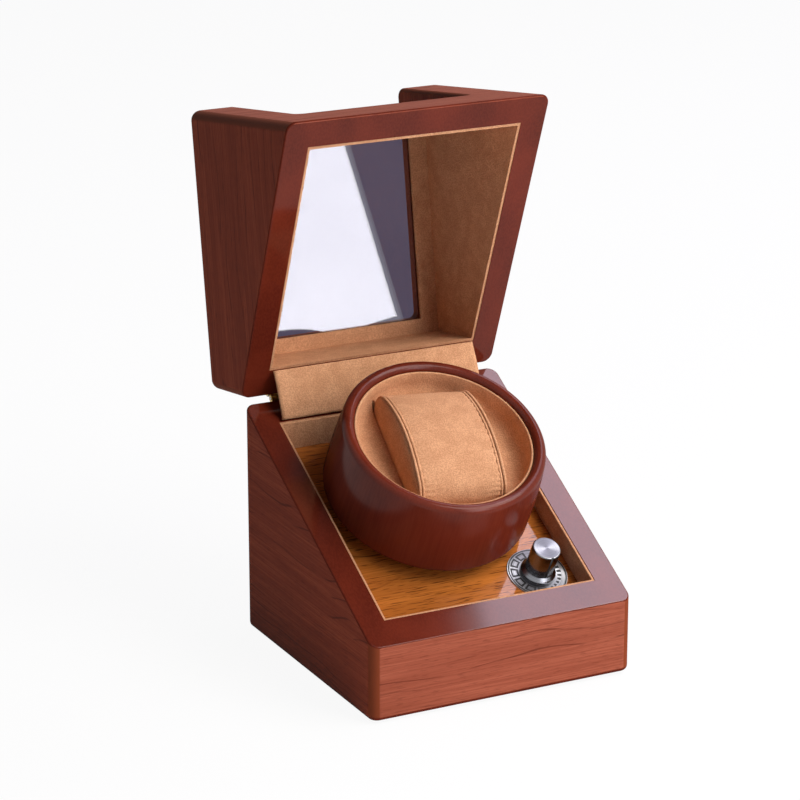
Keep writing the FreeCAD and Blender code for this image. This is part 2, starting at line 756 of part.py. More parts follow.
ring_outer = rod("RingOuter", "ring_radius", "ring_low", "gear_low")
ring_inner = rod("RingInner", "spindle_radius - ring_groove_depth", "ring_low", "gear_low")
node("retaining_ring", cut("RetainingRing", ring_outer, ring_inner), barrel_frame)


def gear_face(teeth, first_angle):
    """Spur gear outline with involute flanks, thinned by half the backlash on each flank."""
    module = number("gear_module")
    pitch = module * teeth / 2
    base = pitch * math.cos(PRESSURE_ANGLE)
    tip = pitch + TOOTH_TIP * module
    root = pitch - TOOTH_ROOT * module
    start = max(base, root)
    roll = math.tan(PRESSURE_ANGLE) - PRESSURE_ANGLE
    half_tooth = (math.pi * module / 2 - number("gear_backlash")) / (2 * pitch) + roll
    flank = []
    for step in range(FLANK_STEPS + 1):
        radius = start + (tip - start) * step / FLANK_STEPS
        turn = math.sqrt(max((radius / base) ** 2 - 1, 0))
        flank.append((radius, half_tooth - turn + math.atan(turn)))
    flank.insert(0, (root, flank[0][1]))
    sides = [(radius, -angle) for radius, angle in flank]
    sides += [(radius, angle) for radius, angle in reversed(flank)]
    points = []
    for tooth in range(teeth):
        centre = first_angle + 2 * math.pi * tooth / teeth
        for radius, angle in sides:
            turned_to = centre + angle
            points.append(Vector(radius * math.cos(turned_to), radius * math.sin(turned_to), 0))
    return Part.Face(Part.makePolygon(points + points[:1]))


def gear(name, teeth, first_angle, bottom, top):
    blank = gear_face(teeth, first_angle).extrude(Vector(0, 0, number(f"{top} - ({bottom})")))
    blank.translate(Vector(0, 0, number(bottom)))
    return feature(name, blank)


drum_count = int(number("drum_teeth"))
pinion_count = int(number("pinion_teeth"))
drum_blank = gear("DrumTeeth", drum_count, math.pi / drum_count, "gear_low", "gear_top")
drum_boss = rod("DrumBoss", "bush_radius", "gear_top", "bush_low - end_play")
drum_bore = rod("DrumBore", "spindle_radius", "gear_low", "bush_low")
drum_solid = fuse("DrumSolid", [drum_blank, drum_boss])
node("drum_gear", cut("DrumGear", drum_solid, drum_bore), barrel_frame)
pinion_blank = gear("PinionTeeth", pinion_count, math.pi, "gear_low - gear_boss", "gear_top")
pinion_bore = rod("PinionBore", "output_radius", "bracket_low", "deck_under")
node("motor_pinion", cut("MotorPinion", pinion_blank, pinion_bore), pinion_frame)
output_shaft = rod("GearboxShaft", "output_radius", "output_low", "gear_top", frame=pinion_frame)
node("gearbox_shaft", output_shaft)
gearbox_case = rod("GearboxCase", "gearbox_radius", "gearbox_low", "bracket_low")
gearbox_boss = rod("GearboxBoss", "gearbox_boss_radius", "bracket_low", "bracket_top")
gearbox_bore = rod("GearboxBore", "output_radius + running_clearance", "output_low", "bracket_top")
gearbox_fused = fuse("GearboxFused", [gearbox_case, gearbox_boss])
gearbox_solid = cut("GearboxSolid", gearbox_fused, gearbox_bore)
motor_places = []
for sign in (-1, 1):
    motor_head = spot("0", f"{sign} * motor_screw_radius", "bracket_top")
    motor_places.append(Placement(motor_head, Rotation()))
small_length = "screw_length * small_screw_scale"
motor_screws = screws("MotorScrews", motor_places, small_length, "small_screw_scale")
node("gearbox_housing", cut("GearboxHousing", gearbox_solid, motor_screws), pinion_frame)
motor_case = rod("MotorCase", "motor_radius", "motor_low", "gearbox_low")
motor_cap = rod("MotorCap", "motor_cap_radius", "motor_low - motor_cap_height", "motor_low")
node("motor_can", fuse("MotorCan", [motor_case, motor_cap]), pinion_frame)
sheet_low = ("0 - bracket_inner_reach", "0 - bracket_reach", "bracket_low")
sheet_high = ("gearbox_radius", "bracket_reach", "bracket_top")
bracket_sheet = box("BracketSheet", sheet_low, sheet_high, pinion_frame)
boss_span = ("bracket_low", "bracket_top")
boss_hole = rod("BossHole", "gearbox_boss_radius", *boss_span, frame=pinion_frame)
motor_screws_placed = group("MotorScrewsPlaced", [motor_screws])
motor_screws_placed.Placement = pinion_frame
bracket_tools = fuse("BracketTools", [boss_hole, bracket_screws, motor_screws_placed])
node("motor_bracket", cut("MotorBracket", bracket_sheet, bracket_tools))
node("motor_screws", motor_screws_placed)
spacer_rods = []
for index, (x, y) in enumerate(spacer_spots):
    span = ("bracket_top", "deck_under")
    spacer_rods.append(rod(f"Spacer{index}", "spacer_radius", *span, x, y, barrel_frame))
node("bracket_spacers", cut("BracketSpacers", group("SpacerBlanks", spacer_rods), bracket_screws))

# Knob: scale plate, rotary switch through the deck, its nut and shaft, and the cap.
plate_disc = rod("PlateDisc", "plate_radius", "deck_top", "plate_top")
plate_hole = rod("PlateHole", "switch_thread_radius", "deck_top", "plate_top")
node("scale_plate", cut("ScalePlate", plate_disc, plate_hole), knob_frame)
switch_body = rod("SwitchBody", "switch_radius", "switch_low", "deck_under")
switch_thread = rod("SwitchThread", "switch_thread_radius", "deck_under", "thread_top")
switch_bore = rod("SwitchBore", bore, "shaft_low", "thread_top")
switch_solid = fuse("SwitchSolid", [switch_body, switch_thread])
node("rotary_switch", cut("RotarySwitch", switch_solid, switch_bore), knob_frame)
switch_hex = hexagon("SwitchHex", "switch_nut_radius", "plate_top", "thread_top")
nut_hole = rod("NutHole", "switch_thread_radius", "plate_top", "thread_top")
node("switch_nut", cut("SwitchNut", switch_hex, nut_hole), knob_frame)
switch_shaft = rod("SwitchShaft", "spindle_radius", "shaft_low + end_play", "shaft_top")
node("switch_shaft", group("SwitchShaftPlaced", [switch_shaft]), knob_frame)
knob_profile = [
    ("nut_room", "knob_low"),
    ("knob_skirt_radius", "knob_low"),
    ("knob_skirt_radius", "knob_low + knob_skirt_height / 2"),
    ("knob_radius", "knob_low + knob_skirt_height"),
    ("knob_radius", "knob_top - knob_edge_round", "knob_edge_round"),
    ("knob_radius - knob_edge_round", "knob_top"),
    ("0", "knob_top"),
    ("0", "shaft_top"),
    ("spindle_radius", "shaft_top"),
    ("spindle_radius", "nut_room_top"),
    ("nut_room", "nut_room_top"),
]
knob_blank = turned("KnobBlank", knob_profile)
pointer_low = ("0 - pointer_width / 2", "0 - knob_skirt_radius", "knob_low + knob_skirt_height")
pointer_high = ("pointer_width / 2", "pointer_depth - knob_radius", "knob_top + drill_overrun")
knob_pointer = box("KnobPointer", pointer_low, pointer_high)
node("knob_cap", cut("KnobCap", knob_blank, knob_pointer), knob_frame)

# Control board on its spacers, and the power inlet in the rear wall.
board_spots = []
for side_x in (-1, 1):
    for side_y in (-1, 1):
        x = f"board_middle_x + {side_x} * (board_length / 2 - 2 * spacer_radius)"
        y = f"board_middle_y + {side_y} * (board_width / 2 - 2 * spacer_radius)"
        board_spots.append((x, y))
board_places = [Placement(spot(x, y, "board_top"), Rotation()) for x, y in board_spots]
board_screws = screws("BoardScrews", board_places, "board_screw_length", "small_screw_scale")
board_high = ("board_x + board_length", "board_y + board_width", "board_top")
board_sheet = box("BoardSheet", ("board_x", "board_y", "board_bottom"), board_high)
chip_low = ("board_middle_x - chip_size / 2", "board_middle_y - chip_size / 2", "board_top")
chip_high = ("board_middle_x + chip_size / 2", "board_middle_y + chip_size / 2", "board_top + chip_height")
chip = box("BoardChip", chip_low, chip_high)
capacitor_span = ("board_top", "board_top + capacitor_height")
capacitor_spot = ("board_middle_x + capacitor_offset", "board_middle_y")
capacitor = rod("BoardCapacitor", "capacitor_radius", *capacitor_span, *capacitor_spot)
board_solid = fuse("BoardSolid", [board_sheet, chip, capacitor])
node("control_board", cut("ControlBoard", board_solid, board_screws))
board_posts = []
for index, (x, y) in enumerate(board_spots):
    board_posts.append(rod(f"BoardPost{index}", "spacer_radius", "floor_top", "board_bottom", x, y))
node("board_spacers", cut("BoardSpacers", group("BoardPosts", board_posts), board_screws))
node("board_screws", board_screws)
panel_tools = fuse("PanelTools", [bottom_screws, board_screws])
node("bottom_panel", cut("BottomPanel", bottom_blank, panel_tools))

jack_barrel = rod("JackBarrel", "jack_radius", "jack_end", "0")
jack_flange = rod("JackFlange", "jack_flange_radius", "0", "jack_flange_thickness")
jack_socket = rod("JackSocket", "jack_socket_radius", "0 - jack_socket_depth", "jack_flange_thickness")
jack_pin = rod("JackPin", "jack_pin_radius", "0 - jack_socket_depth", "0")
jack_solid = cut("JackSolid", fuse("JackFused", [jack_barrel, jack_flange]), jack_socket)
node("dc_jack", fuse("DcJack", [jack_solid, jack_pin]), jack_place)
jack_nut_low = "0 - wall_thickness - jack_nut_height"
jack_hex = hexagon("JackHex", "jack_flange_radius", jack_nut_low, "0 - wall_thickness")
jack_nut_hole = rod("JackNutHole", "jack_radius", "jack_end", "0")
node("jack_nut", cut("JackNut", jack_hex, jack_nut_hole), jack_place)

# Lid: the same rounded block above the slope, shared out between walls, rails and stiles.
lid_block = box("LidBlock", case_low, case_high)
lid_posts = rounded("LidPosts", lid_block, "corner_round", upright)
lid_height = number("closed_height")
lid_crown = rounded("LidCrown", lid_posts, "corner_round", lambda edge: flat_at(edge, lid_height))
lid_cut = cut("LidSlope", lid_crown, on_rim("BelowLid", f"0 - ({above_rim})", "parting_gap"))
lid_shell = rounded("LidShell", lid_cut, "rim_round", in_rim(number("parting_gap")))
room_low = ("0 - inner_x", "0 - inner_y", "0")
lid_room = box("LidRoom", room_low, ("inner_x", "inner_y", "lid_inside_top"))
view_low = ("0 - window_x", "0 - half_depth", "window_low")
view_box = box("WindowView", view_low, ("window_x", "window_rear", "closed_height"))
lid_framed = cut("LidFramed", lid_shell, fuse("LidOpenings", [lid_room, view_box]))


def window_corner(edge):
    """The four short edges, through the wood, where two sides of the window meet."""

    def at_corner(vertex):
        beside = same(abs(vertex.X), number("window_x"))
        below = same(vertex.Z, number("window_low")) and vertex.Y < 0
        behind = same(vertex.Y, number("window_rear"))
        return beside and (below or behind)

    start, end = edge.Vertexes[0], edge.Vertexes[-1]
    return at_corner(start) and at_corner(end) and same(start.X, end.X)


def window_rim(edge):
    """The edges round the window on the outside of the lid."""

    def round_the_window(vertex):
        if not (same(vertex.Y, number("0 - half_depth")) or same(vertex.Z, lid_height)):
            return False
        beside = abs(vertex.X) < number("window_x") + TOUCHING
        before = vertex.Y < number("window_rear") + TOUCHING
        return beside and before and vertex.Z > number("window_low") - TOUCHING

    return all(round_the_window(vertex) for vertex in edge.Vertexes)


def pane_bend(edge):
    """The edge where the window turns from the front to the top."""
    corner_y = number("pane_outer_y")
    corner_z = number("pane_outer_z")
    return all(same(v.Y, corner_y) and same(v.Z, corner_z) for v in edge.Vertexes)


lid_corners = rounded("LidCorners", lid_framed, "window_corner_round", window_corner)
lid_window = rounded("LidWindow", lid_corners, "window_edge_round", window_rim)
seat_x = "window_x + pane_overlap"
seat_low = (f"0 - ({seat_x})", "pane_outer_y", "window_low - pane_overlap")
seat_block = box("SeatBlock", seat_low, (seat_x, "window_rear + pane_overlap", "pane_outer_z"))
pane_seat = rounded("PaneSeat", seat_block, "pane_outer_bend", pane_bend)
lid_wood = cut("LidWood", lid_window, fuse("LidTools", [pane_seat, lid_hinge_screws]))
across = ("0 - inner_x", "inner_x")
stile_x = "window_x - window_corner_round"
whole_height = ("0", "closed_height")
above_sill = ("window_low", "closed_height")
to_window_rear = ("0 - half_depth", "window_rear")
lid_pieces = {
    "lid_left_wall": (wall_spans["left"], ("0 - half_depth", "half_depth"), whole_height),
    "lid_right_wall": (wall_spans["right"], ("0 - half_depth", "half_depth"), whole_height),
    "lid_rear_wall": (across, ("inner_y", "half_depth"), whole_height),
    "lid_front_rail": (across, ("0 - half_depth", "0 - inner_y"), ("0", "window_low")),
    "lid_top_rail": (across, ("window_rear", "inner_y"), whole_height),
    "lid_left_stile": (("0 - inner_x", f"0 - ({stile_x})"), to_window_rear, above_sill),
    "lid_right_stile": ((stile_x, "inner_x"), to_window_rear, above_sill),
}
for label, spans in lid_pieces.items():
    share_low, share_high = zip(*spans)
    share = box(f"Share_{label}", share_low, share_high)
    node(label, common(f"Wood_{label}", lid_wood, share), lid_frame)
node("hinge_lid_screws", group("LidHingeScrewsOpen", [lid_hinge_screws]), lid_frame)
pane_end = "window_rear + pane_overlap - pane_clearance"
pane_foot = "window_low - pane_overlap + pane_clearance"
pane_profile = [
    (pane_end, "pane_inner_z"),
    (pane_end, "pane_outer_z"),
    ("pane_outer_y + pane_outer_bend", "pane_outer_z", "pane_outer_bend"),
    ("pane_outer_y", "pane_outer_z - pane_outer_bend"),
    ("pane_outer_y", pane_foot),
    ("pane_inner_y", pane_foot),
    ("pane_inner_y", "pane_inner_z - pane_bend_radius", "-pane_bend_radius"),
    ("pane_inner_y + pane_bend_radius", "pane_inner_z"),
]
pane_closed = pad_across("PaneClosed", pane_profile, f"2 * ({seat_x} - pane_clearance)")
node("window_pane", group("WindowPane", [pane_closed]), lid_frame)
lining_tools = fuse("LiningTools", [view_box, pane_closed])
lid_slab = on_rim("LidLiningSlab", "parting_gap + lining_setback", above_rim)
lid_ring = common("LidRing", lining_ring("LidSide", "0", "lid_inside_top"), lid_slab)
node("lid_lining", cut("LidLining", lid_ring, lining_tools), lid_frame)
top_low = ("0 - lined_x", "0 - lined_y", "lid_inside_top - lining_thickness")
top_sheet = box("TopSheet", top_low, ("lined_x", "lined_y", "lid_inside_top"))
node("lid_top_lining", cut("LidTopLining", top_sheet, lining_tools), lid_frame)

# Hinges: two three-knuckle butt hinges on the rear face and a velvet flap inside.
knuckles = {-1: (0, 2), 1: (1,)}


def leaf(side, x, sign):
    """One leaf with its knuckles: sign -1 hangs below the axis on the base, 1 stands on the lid."""
    name = f"Leaf_{side}_{'lid' if sign > 0 else 'base'}"

    def slab(part, left, right, near, far):
        """Flat piece on the rear face between two distances from the axis."""
        ends = [f"hinge_z + {sign} * {distance}" for distance in (near, far)][::sign]
        return box(f"{name}{part}", (left, "half_depth", ends[0]), (right, "leaf_face", ends[1]))

    start = f"{x} - hinge_width / 2"
    pieces = [slab("Plate", start, f"{x} + hinge_width / 2", "leaf_start", "hinge_leaf_height")]
    for index in knuckles[sign]:
        left = f"{start} + {index} * knuckle_length + hinge_clearance / 2"
        right = f"{start} + {index + 1} * knuckle_length - hinge_clearance / 2"
        pieces.append(slab(f"Tab{index}", left, right, "hinge_clearance", "leaf_start"))
        axis = Placement(spot(left, "hinge_y", "hinge_z"), along_x)
        length = f"({right}) - ({left})"
        pieces.append(rod(f"{name}Knuckle{index}", "hinge_knuckle_radius", "0", length, frame=axis))
    return fuse(f"{name}Solid", pieces)


def pin_rod(name, x, radius):
    frame = Placement(spot(f"{x} - hinge_width / 2", "hinge_y", "hinge_z"), along_x)
    return rod(name, radius, "0", "hinge_width", frame=frame)


pins = [pin_rod(f"Pin_{side}", x, "hinge_pin_radius") for side, x in hinge_sides.items()]
pin_group = group("HingePins", pins)
pin_room = "hinge_pin_radius + running_clearance"
pin_bores = [pin_rod(f"PinBore_{side}", x, pin_room) for side, x in hinge_sides.items()]
base_leaves = group("BaseLeaves", [leaf(side, x, -1) for side, x in hinge_sides.items()])
lid_leaves = group("LidLeaves", [leaf(side, x, 1) for side, x in hinge_sides.items()])
base_leaf_tools = fuse("BaseLeafTools", pins + [base_hinge_screws])
lid_leaf_tools = fuse("LidLeafTools", pin_bores + [lid_hinge_screws])
node("hinge_pins", pin_group)
node("hinge_base_leaves", cut("HingeBaseLeaves", base_leaves, base_leaf_tools))
node("hinge_lid_leaves", cut("HingeLidLeaves", lid_leaves, lid_leaf_tools), lid_frame)


def flap_shape():
    """Velvet strip from the base's rear inner edge to the lid's, bowed a little to the front."""
    square = rim_frame.Rotation.multVec(Vector(0, 0, 1))
    edge_s = number("(half_depth + inner_y) / cos(slope)")
    edge = rim_frame.multVec(Vector(0, edge_s, 0))
    low = edge + square * number("flap_clearance")
    high = lid_frame.multVec(edge + square * number("parting_gap - flap_clearance"))
    run = high - low
    out = Vector(0, -run.z, run.y).normalize()
    middle = low + run * 0.5 + out * number("flap_bulge")
    back = [low, middle, high]
    front = [point + out * number("flap_thickness") for point in back]
    edges = [
        Part.Arc(*back).toShape(),
        Part.LineSegment(back[2], front[2]).toShape(),
        Part.Arc(*reversed(front)).toShape(),
        Part.LineSegment(front[0], back[0]).toShape(),
    ]
    width = 2 * number("lined_x - flap_margin")
    strip = Part.Face(Part.Wire(edges)).extrude(Vector(width, 0, 0))
    strip.translate(Vector(-width / 2, 0, 0))
    return strip


node("hinge_flap", feature("HingeFlap", flap_shape()))

# Check every object, then write one file for each sub-part.
doc.recompute()
for item in doc.Objects:
    if "Invalid" in item.State or "Error" in item.State:
        raise RuntimeError(f"{item.Label} failed: {item.State}")
for label, item in nodes.items():
    if item.Shape.isNull() or not item.Shape.isValid() or not item.Shape.Solids:
        raise RuntimeError(f"{label} has no valid solid")
os.makedirs("parts", exist_ok=True)
for label, item in nodes.items():
    item.Shape.exportStep(f"parts/{label}.step")
print(len(nodes), "nodes,", sum(len(item.Shape.Solids) for item in nodes.values()), "solids")
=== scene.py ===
# %% [markdown]
# # A watch winder box
# The box is lacquered wood with a sloping rim, an open lid with a bent window, and a turned barrel
# that carries a velvet watch pillow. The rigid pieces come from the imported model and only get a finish
# here. The velvet pieces are modelled here, because cloth needs soft edges that a machined solid lacks.

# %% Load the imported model
import json
import math

import bmesh
import bpy
from mathutils import Matrix, Vector, noise


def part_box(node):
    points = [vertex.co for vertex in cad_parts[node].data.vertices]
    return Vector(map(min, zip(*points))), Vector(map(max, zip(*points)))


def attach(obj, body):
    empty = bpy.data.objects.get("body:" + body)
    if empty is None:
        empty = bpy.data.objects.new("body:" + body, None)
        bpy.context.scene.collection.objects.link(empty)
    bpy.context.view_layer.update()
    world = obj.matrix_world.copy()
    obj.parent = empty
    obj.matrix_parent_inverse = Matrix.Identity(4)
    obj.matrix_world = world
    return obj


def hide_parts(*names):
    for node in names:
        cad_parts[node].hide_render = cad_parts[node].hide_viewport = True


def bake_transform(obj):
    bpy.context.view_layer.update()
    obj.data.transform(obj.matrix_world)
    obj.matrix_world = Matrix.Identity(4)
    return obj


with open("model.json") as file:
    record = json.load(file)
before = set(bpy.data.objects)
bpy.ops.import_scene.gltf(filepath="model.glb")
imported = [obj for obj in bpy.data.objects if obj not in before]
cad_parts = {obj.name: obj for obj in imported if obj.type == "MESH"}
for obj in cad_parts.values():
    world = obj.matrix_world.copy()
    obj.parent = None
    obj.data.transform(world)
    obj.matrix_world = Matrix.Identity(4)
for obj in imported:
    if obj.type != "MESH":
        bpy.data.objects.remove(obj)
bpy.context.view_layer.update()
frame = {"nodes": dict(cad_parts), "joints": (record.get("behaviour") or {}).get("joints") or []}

nodes = frame["nodes"]
joints = {joint["name"]: joint for joint in frame["joints"]}
MM = 0.001

# %% [markdown]
# Two frames help to place things. The rim frame lies on the sloping rim: one axis runs across the box,
# one up the slope and one square to it. The lid's own directions are the closed box's directions, swung
# back with the lid, and its wood grain has to follow them. Both come from the joints of the model, so
# that they stay right when its slope or its opening changes.

# %% Directions of the rim and of the open lid
across = Vector((1, 0, 0))
rearward = Vector((0, 1, 0))
upward = Vector((0, 0, 1))
rim_normal = Vector(joints["barrel_spin"]["axis"]).normalized()
rim_up = Vector((0, rim_normal.z, -rim_normal.y))
lid_swing = Matrix.Rotation(-math.radians(joints["lid_hinge"]["range_deg"][1]), 3, "X")
lid_rearward = lid_swing @ rearward
lid_upward = lid_swing @ upward
lid_rim_normal = lid_swing @ rim_normal
barrel_axis_point = Vector(joints["barrel_spin"]["pos_m"])
knob_axis_point = Vector(joints["knob_turn"]["pos_m"])


def rim_frame(origin, turn=0.0):
    """Frame at a point: X across, Y up the slope and Z square to the rim, then turned about Z."""
    axes = Matrix((across, rim_up, rim_normal)).transposed().to_4x4()
    return Matrix.Translation(origin) @ axes @ Matrix.Rotation(turn, 4, "Z")


print("rim slope", round(math.degrees(math.asin(rim_up.z)), 2), "degrees")

# %% [markdown]
# Materials are node trees. One small function adds a node, sets it, links it and gives back one of its
# outputs, so that each finish below reads as a short recipe. Colours are written as the hex values seen
# on a screen, and a second function turns them into the linear values that the renderer adds up.

# %% Adding nodes and colours


def linear(hex_colour):
    """Linear RGBA of a screen colour such as #6b2a20."""
    channels = [int(hex_colour[i:i + 2], 16) / 255 for i in (1, 3, 5)]
    curved = [c / 12.92 if c <= 0.04045 else ((c + 0.055) / 1.055) ** 2.4 for c in channels]
    return (*curved, 1.0)


def add(tree, kind, inputs=None, output=0, **settings):
    """Add one node; each input takes a value or another node's output. Give back an output."""
    made = tree.nodes.new("ShaderNode" + kind)
    for key, value in settings.items():
        setattr(made, key, value)
    for key, value in (inputs or {}).items():
        if isinstance(value, bpy.types.NodeSocket):
            tree.links.new(value, made.inputs[key])
        else:
            made.inputs[key].default_value = value
    return made.outputs[output] if made.outputs else None


def begin(name):
    """New material and its empty node tree."""
    material = bpy.data.materials.new(name)
    material.use_nodes = True
    material.node_tree.nodes.clear()
    return material, material.node_tree


print("white is", linear("#ffffff"))

# %% [markdown]
# Wood, cloth and drawn metal all need patterns that are longer one way than the other. Noise gives them
# once its coordinates are in millimetres, turned along the grain and squeezed. A soft step then picks
# out the streaks, and a colour is laid over another where they are. Image textures could do the same,
# but noise has no seams and follows any size.

# %% Patterns along a grain


def grain_coordinates(tree, along, crosswise):
    """Object coordinates in millimetres: first along the grain, then across it, then deep."""
    turn = Matrix((along, crosswise, along.cross(crosswise))).to_euler()
    place = add(tree, "TexCoord", output="Object")
    per_millimetre = (1 / MM, 1 / MM, 1 / MM)
    return add(tree, "Mapping", {"Vector": place, "Rotation": turn, "Scale": per_millimetre})


def stretched_noise(tree, coordinates, length, width, detail=2.0):
    """Noise whose blotches are so many millimetres long and wide."""
    shrink = (1 / length, 1 / width, 1 / width)
    squeezed = add(tree, "VectorMath", {0: coordinates, 1: shrink}, operation="MULTIPLY")
    return add(tree, "TexNoise", {"Vector": squeezed, "Scale": 1.0, "Detail": detail}, "Fac")


def streaks(tree, coordinates, length, width, detail, low, high):
    """Streaks of that size: none where the noise is under low, and full where it is over high."""
    level = stretched_noise(tree, coordinates, length, width, detail)
    return add(tree, "MapRange", {"Value": level, "From Min": low, "From Max": high},
               interpolation_type="SMOOTHSTEP")


def laid_over(tree, under, over, mask, span=(0.0, 1.0), share=(0.0, 1.0)):
    """Lay a colour over another: its share goes from the first to the second as the mask spans."""
    amount = add(tree, "MapRange", {
        "Value": mask, "From Min": span[0], "From Max": span[1], "To Min": share[0], "To Max": share[1],
    }, interpolation_type="SMOOTHSTEP")
    # A mix node has its share on input 0, its two colours on inputs 6 and 7, and the result on output 2.
    return add(tree, "Mix", {0: amount, 6: under, 7: over}, 2, data_type="RGBA")


def facing(tree, direction, start=0.975, end=0.995):
    """One where the surface looks along the direction, either way, and zero elsewhere."""
    normal = add(tree, "TexCoord", output="Normal")
    likeness = add(tree, "VectorMath", {0: normal, 1: direction}, "Value", operation="DOT_PRODUCT")
    either_way = add(tree, "Math", {0: likeness}, operation="ABSOLUTE")
    return add(tree, "MapRange", {"Value": either_way, "From Min": start, "From Max": end},
               interpolation_type="SMOOTHSTEP")


print("patterns are measured in units of", MM, "m")

# %% [markdown]
# The walls are board covered with a reddish tropical veneer. Veneer has a slow light and dark figure,
# fine ribbons, a few wavy growth lines, and short dark pores, and all of them run along the grain. A
# growth line is the crest of a wave across the grain. Slow noise shifts the wave, so that the lines
# wander, and more noise decides where they show. The rims and rounded edges are solid wood with a dark
# red-brown stain, cloudy over centimetres.

# %% Colours of veneer and stain
STAIN = "#672617"
STAIN_DEEP = "#561e12"
STAIN_FIBRE = "#8a3a26"
SIDE_TONES = ("#9e4a30", "#7f3521", "#3a130b")
FRONT_TONES = ("#a35a44", "#8a4633", "#4a1c14")
DECK_TONES = ("#c47531", "#a35d25", "#3c1b0d")
PLYWOOD_TONES = ("#d8b98c", "#c29f70", "#9a774b")
LINE_WANDER = 22.0
LINE_CREST = 0.92
LINE_SHARE = 0.55


def stained_colour(tree, coordinates):
    """Dark red-brown stain, cloudy over centimetres, with faint fibres."""
    cloud = stretched_noise(tree, coordinates, 60, 22)
    fibres = streaks(tree, coordinates, 30, 0.7, 2, low=0.35, high=0.65)
    mottled = laid_over(tree, linear(STAIN_DEEP), linear(STAIN), cloud, span=(0.3, 0.7))
    return laid_over(tree, mottled, linear(STAIN_FIBRE), fibres, share=(0.0, 0.12))


def growth_lines(tree, coordinates, spacing):
    """Thin wavy lines so many millimetres apart, present here and there."""
    crosswise = add(tree, "SeparateXYZ", {0: coordinates}, "Y")
    even_phase = add(tree, "Math", {0: crosswise, 1: math.tau / spacing}, operation="MULTIPLY")
    wander = stretched_noise(tree, coordinates, 70, 26, 1)
    phase = add(tree, "Math", {0: wander, 1: LINE_WANDER, 2: even_phase}, operation="MULTIPLY_ADD")
    wave = add(tree, "Math", {0: phase}, operation="SINE")
    crest = add(tree, "MapRange", {"Value": wave, "From Min": LINE_CREST, "To Max": LINE_SHARE},
                interpolation_type="SMOOTHSTEP")
    present = streaks(tree, coordinates, 110, 6, 2, low=0.45, high=0.62)
    return add(tree, "Math", {0: crest, 1: present}, operation="MULTIPLY")


def veneer_colour(tree, coordinates, tones, spacing, pore_length, pore_share):
    """Colour of veneer, and its pores, from a light, a dark and a vein tone."""
    light, dark, vein = (linear(tone) for tone in tones)
    figure = stretched_noise(tree, coordinates, 90, 5, 3)
    ribbon = streaks(tree, coordinates, 45, 0.6, 3, low=0.35, high=0.65)
    pores = streaks(tree, coordinates, pore_length, 0.5, 1, low=0.56, high=0.68)
    colour = laid_over(tree, dark, light, figure, span=(0.3, 0.7), share=(0.3, 1.0))
    colour = laid_over(tree, colour, dark, ribbon, share=(0.0, 0.7))
    colour = laid_over(tree, colour, vein, pores, share=(0.0, pore_share))
    lines = growth_lines(tree, coordinates, spacing)
    return add(tree, "Mix", {0: lines, 6: colour, 7: vein}, 2, data_type="RGBA"), pores


print("wood tones", SIDE_TONES, FRONT_TONES, DECK_TONES)

# %% [markdown]
# Clear lacquer lies over the wood, so the wood has no shine of its own and the coat gives all of it. The
# walls are satin, and only the rims are polished to a gloss that mirrors the lamps. One finish does the
# whole wall. It tells the places apart by the direction of the surface: a face that looks straight out
# of a wall is veneer, a face square to the slope is a rim, and all else is stained edge.

# %% Lacquered walls of the base and the lid
STAIN_EDGE = "#7d3c24"
RIM_COAT = 1.0
LID_RIM_COAT = 0.4
VENEER_COAT = 0.06
PORE_DEPTH = 0.2 * MM


def lacquer_over(tree, colour, relief, coat, coat_roughness):
    """Wood with no shine of its own under a clear coat that gives the gloss."""
    shader = add(tree, "BsdfPrincipled", {
        "Base Color": colour, "Roughness": 0.5, "IOR": 1.5, "Specular IOR Level": 0.0, "Normal": relief,
        "Coat Weight": coat, "Coat Roughness": coat_roughness, "Coat IOR": 1.5,
    })
    add(tree, "OutputMaterial", {"Surface": shader})


def lacquered(name, faces, upright, rim, rim_coat):
    """Stained lacquer with a polished rim, and veneer on faces, each a direction, grain and tones."""
    material, tree = begin(name)
    _, along, crosswise, _ = faces[0]
    stain = stained_colour(tree, grain_coordinates(tree, along, crosswise))
    # The upright corner edges get a lighter brown than the rest of the stain.
    tilted = facing(tree, upright, start=0.1, end=0.35)
    colour = add(tree, "Mix", {0: tilted, 6: linear(STAIN_EDGE), 7: stain}, 2, data_type="RGBA")
    for direction, along, crosswise, tones in faces:
        grain = grain_coordinates(tree, along, crosswise)
        veneer, pores = veneer_colour(tree, grain, tones, spacing=7, pore_length=6, pore_share=0.25)
        on_face = facing(tree, direction)
        colour = add(tree, "Mix", {0: on_face, 6: colour, 7: veneer}, 2, data_type="RGBA")
    dents = {"Height": pores, "Strength": 0.05, "Distance": PORE_DEPTH}
    relief = add(tree, "Bump", dents, invert=True)
    on_rim = facing(tree, rim, start=0.93, end=0.995)
    polish = add(tree, "MapRange", {"Value": on_rim, "To Min": VENEER_COAT, "To Max": rim_coat},
                 interpolation_type="SMOOTHSTEP")
    lacquer_over(tree, colour, relief, polish, coat_roughness=0.07)
    return material


def give(material, *names):
    """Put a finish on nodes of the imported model."""
    for name in names:
        mesh = nodes[name].data
        mesh.materials.clear()
        mesh.materials.append(material)


case_veneer = lacquered("veneer_case", [
    (across, rearward, upward, SIDE_TONES),
    (rearward, across, upward, FRONT_TONES),
], upward, rim_normal, RIM_COAT)
lid_veneer = lacquered("veneer_lid", [
    (across, lid_rearward, lid_upward, SIDE_TONES),
    (lid_rearward, across, lid_upward, FRONT_TONES),
    (lid_upward, across, lid_rearward, FRONT_TONES),
], lid_upward, lid_rim_normal, LID_RIM_COAT)
give(case_veneer, "base_left_wall", "base_right_wall", "base_front_wall", "base_rear_wall")
give(lid_veneer, "lid_left_wall", "lid_right_wall", "lid_rear_wall", "lid_front_rail", "lid_top_rail",
     "lid_left_stile", "lid_right_stile")
print("veneers", case_veneer.name, lid_veneer.name)

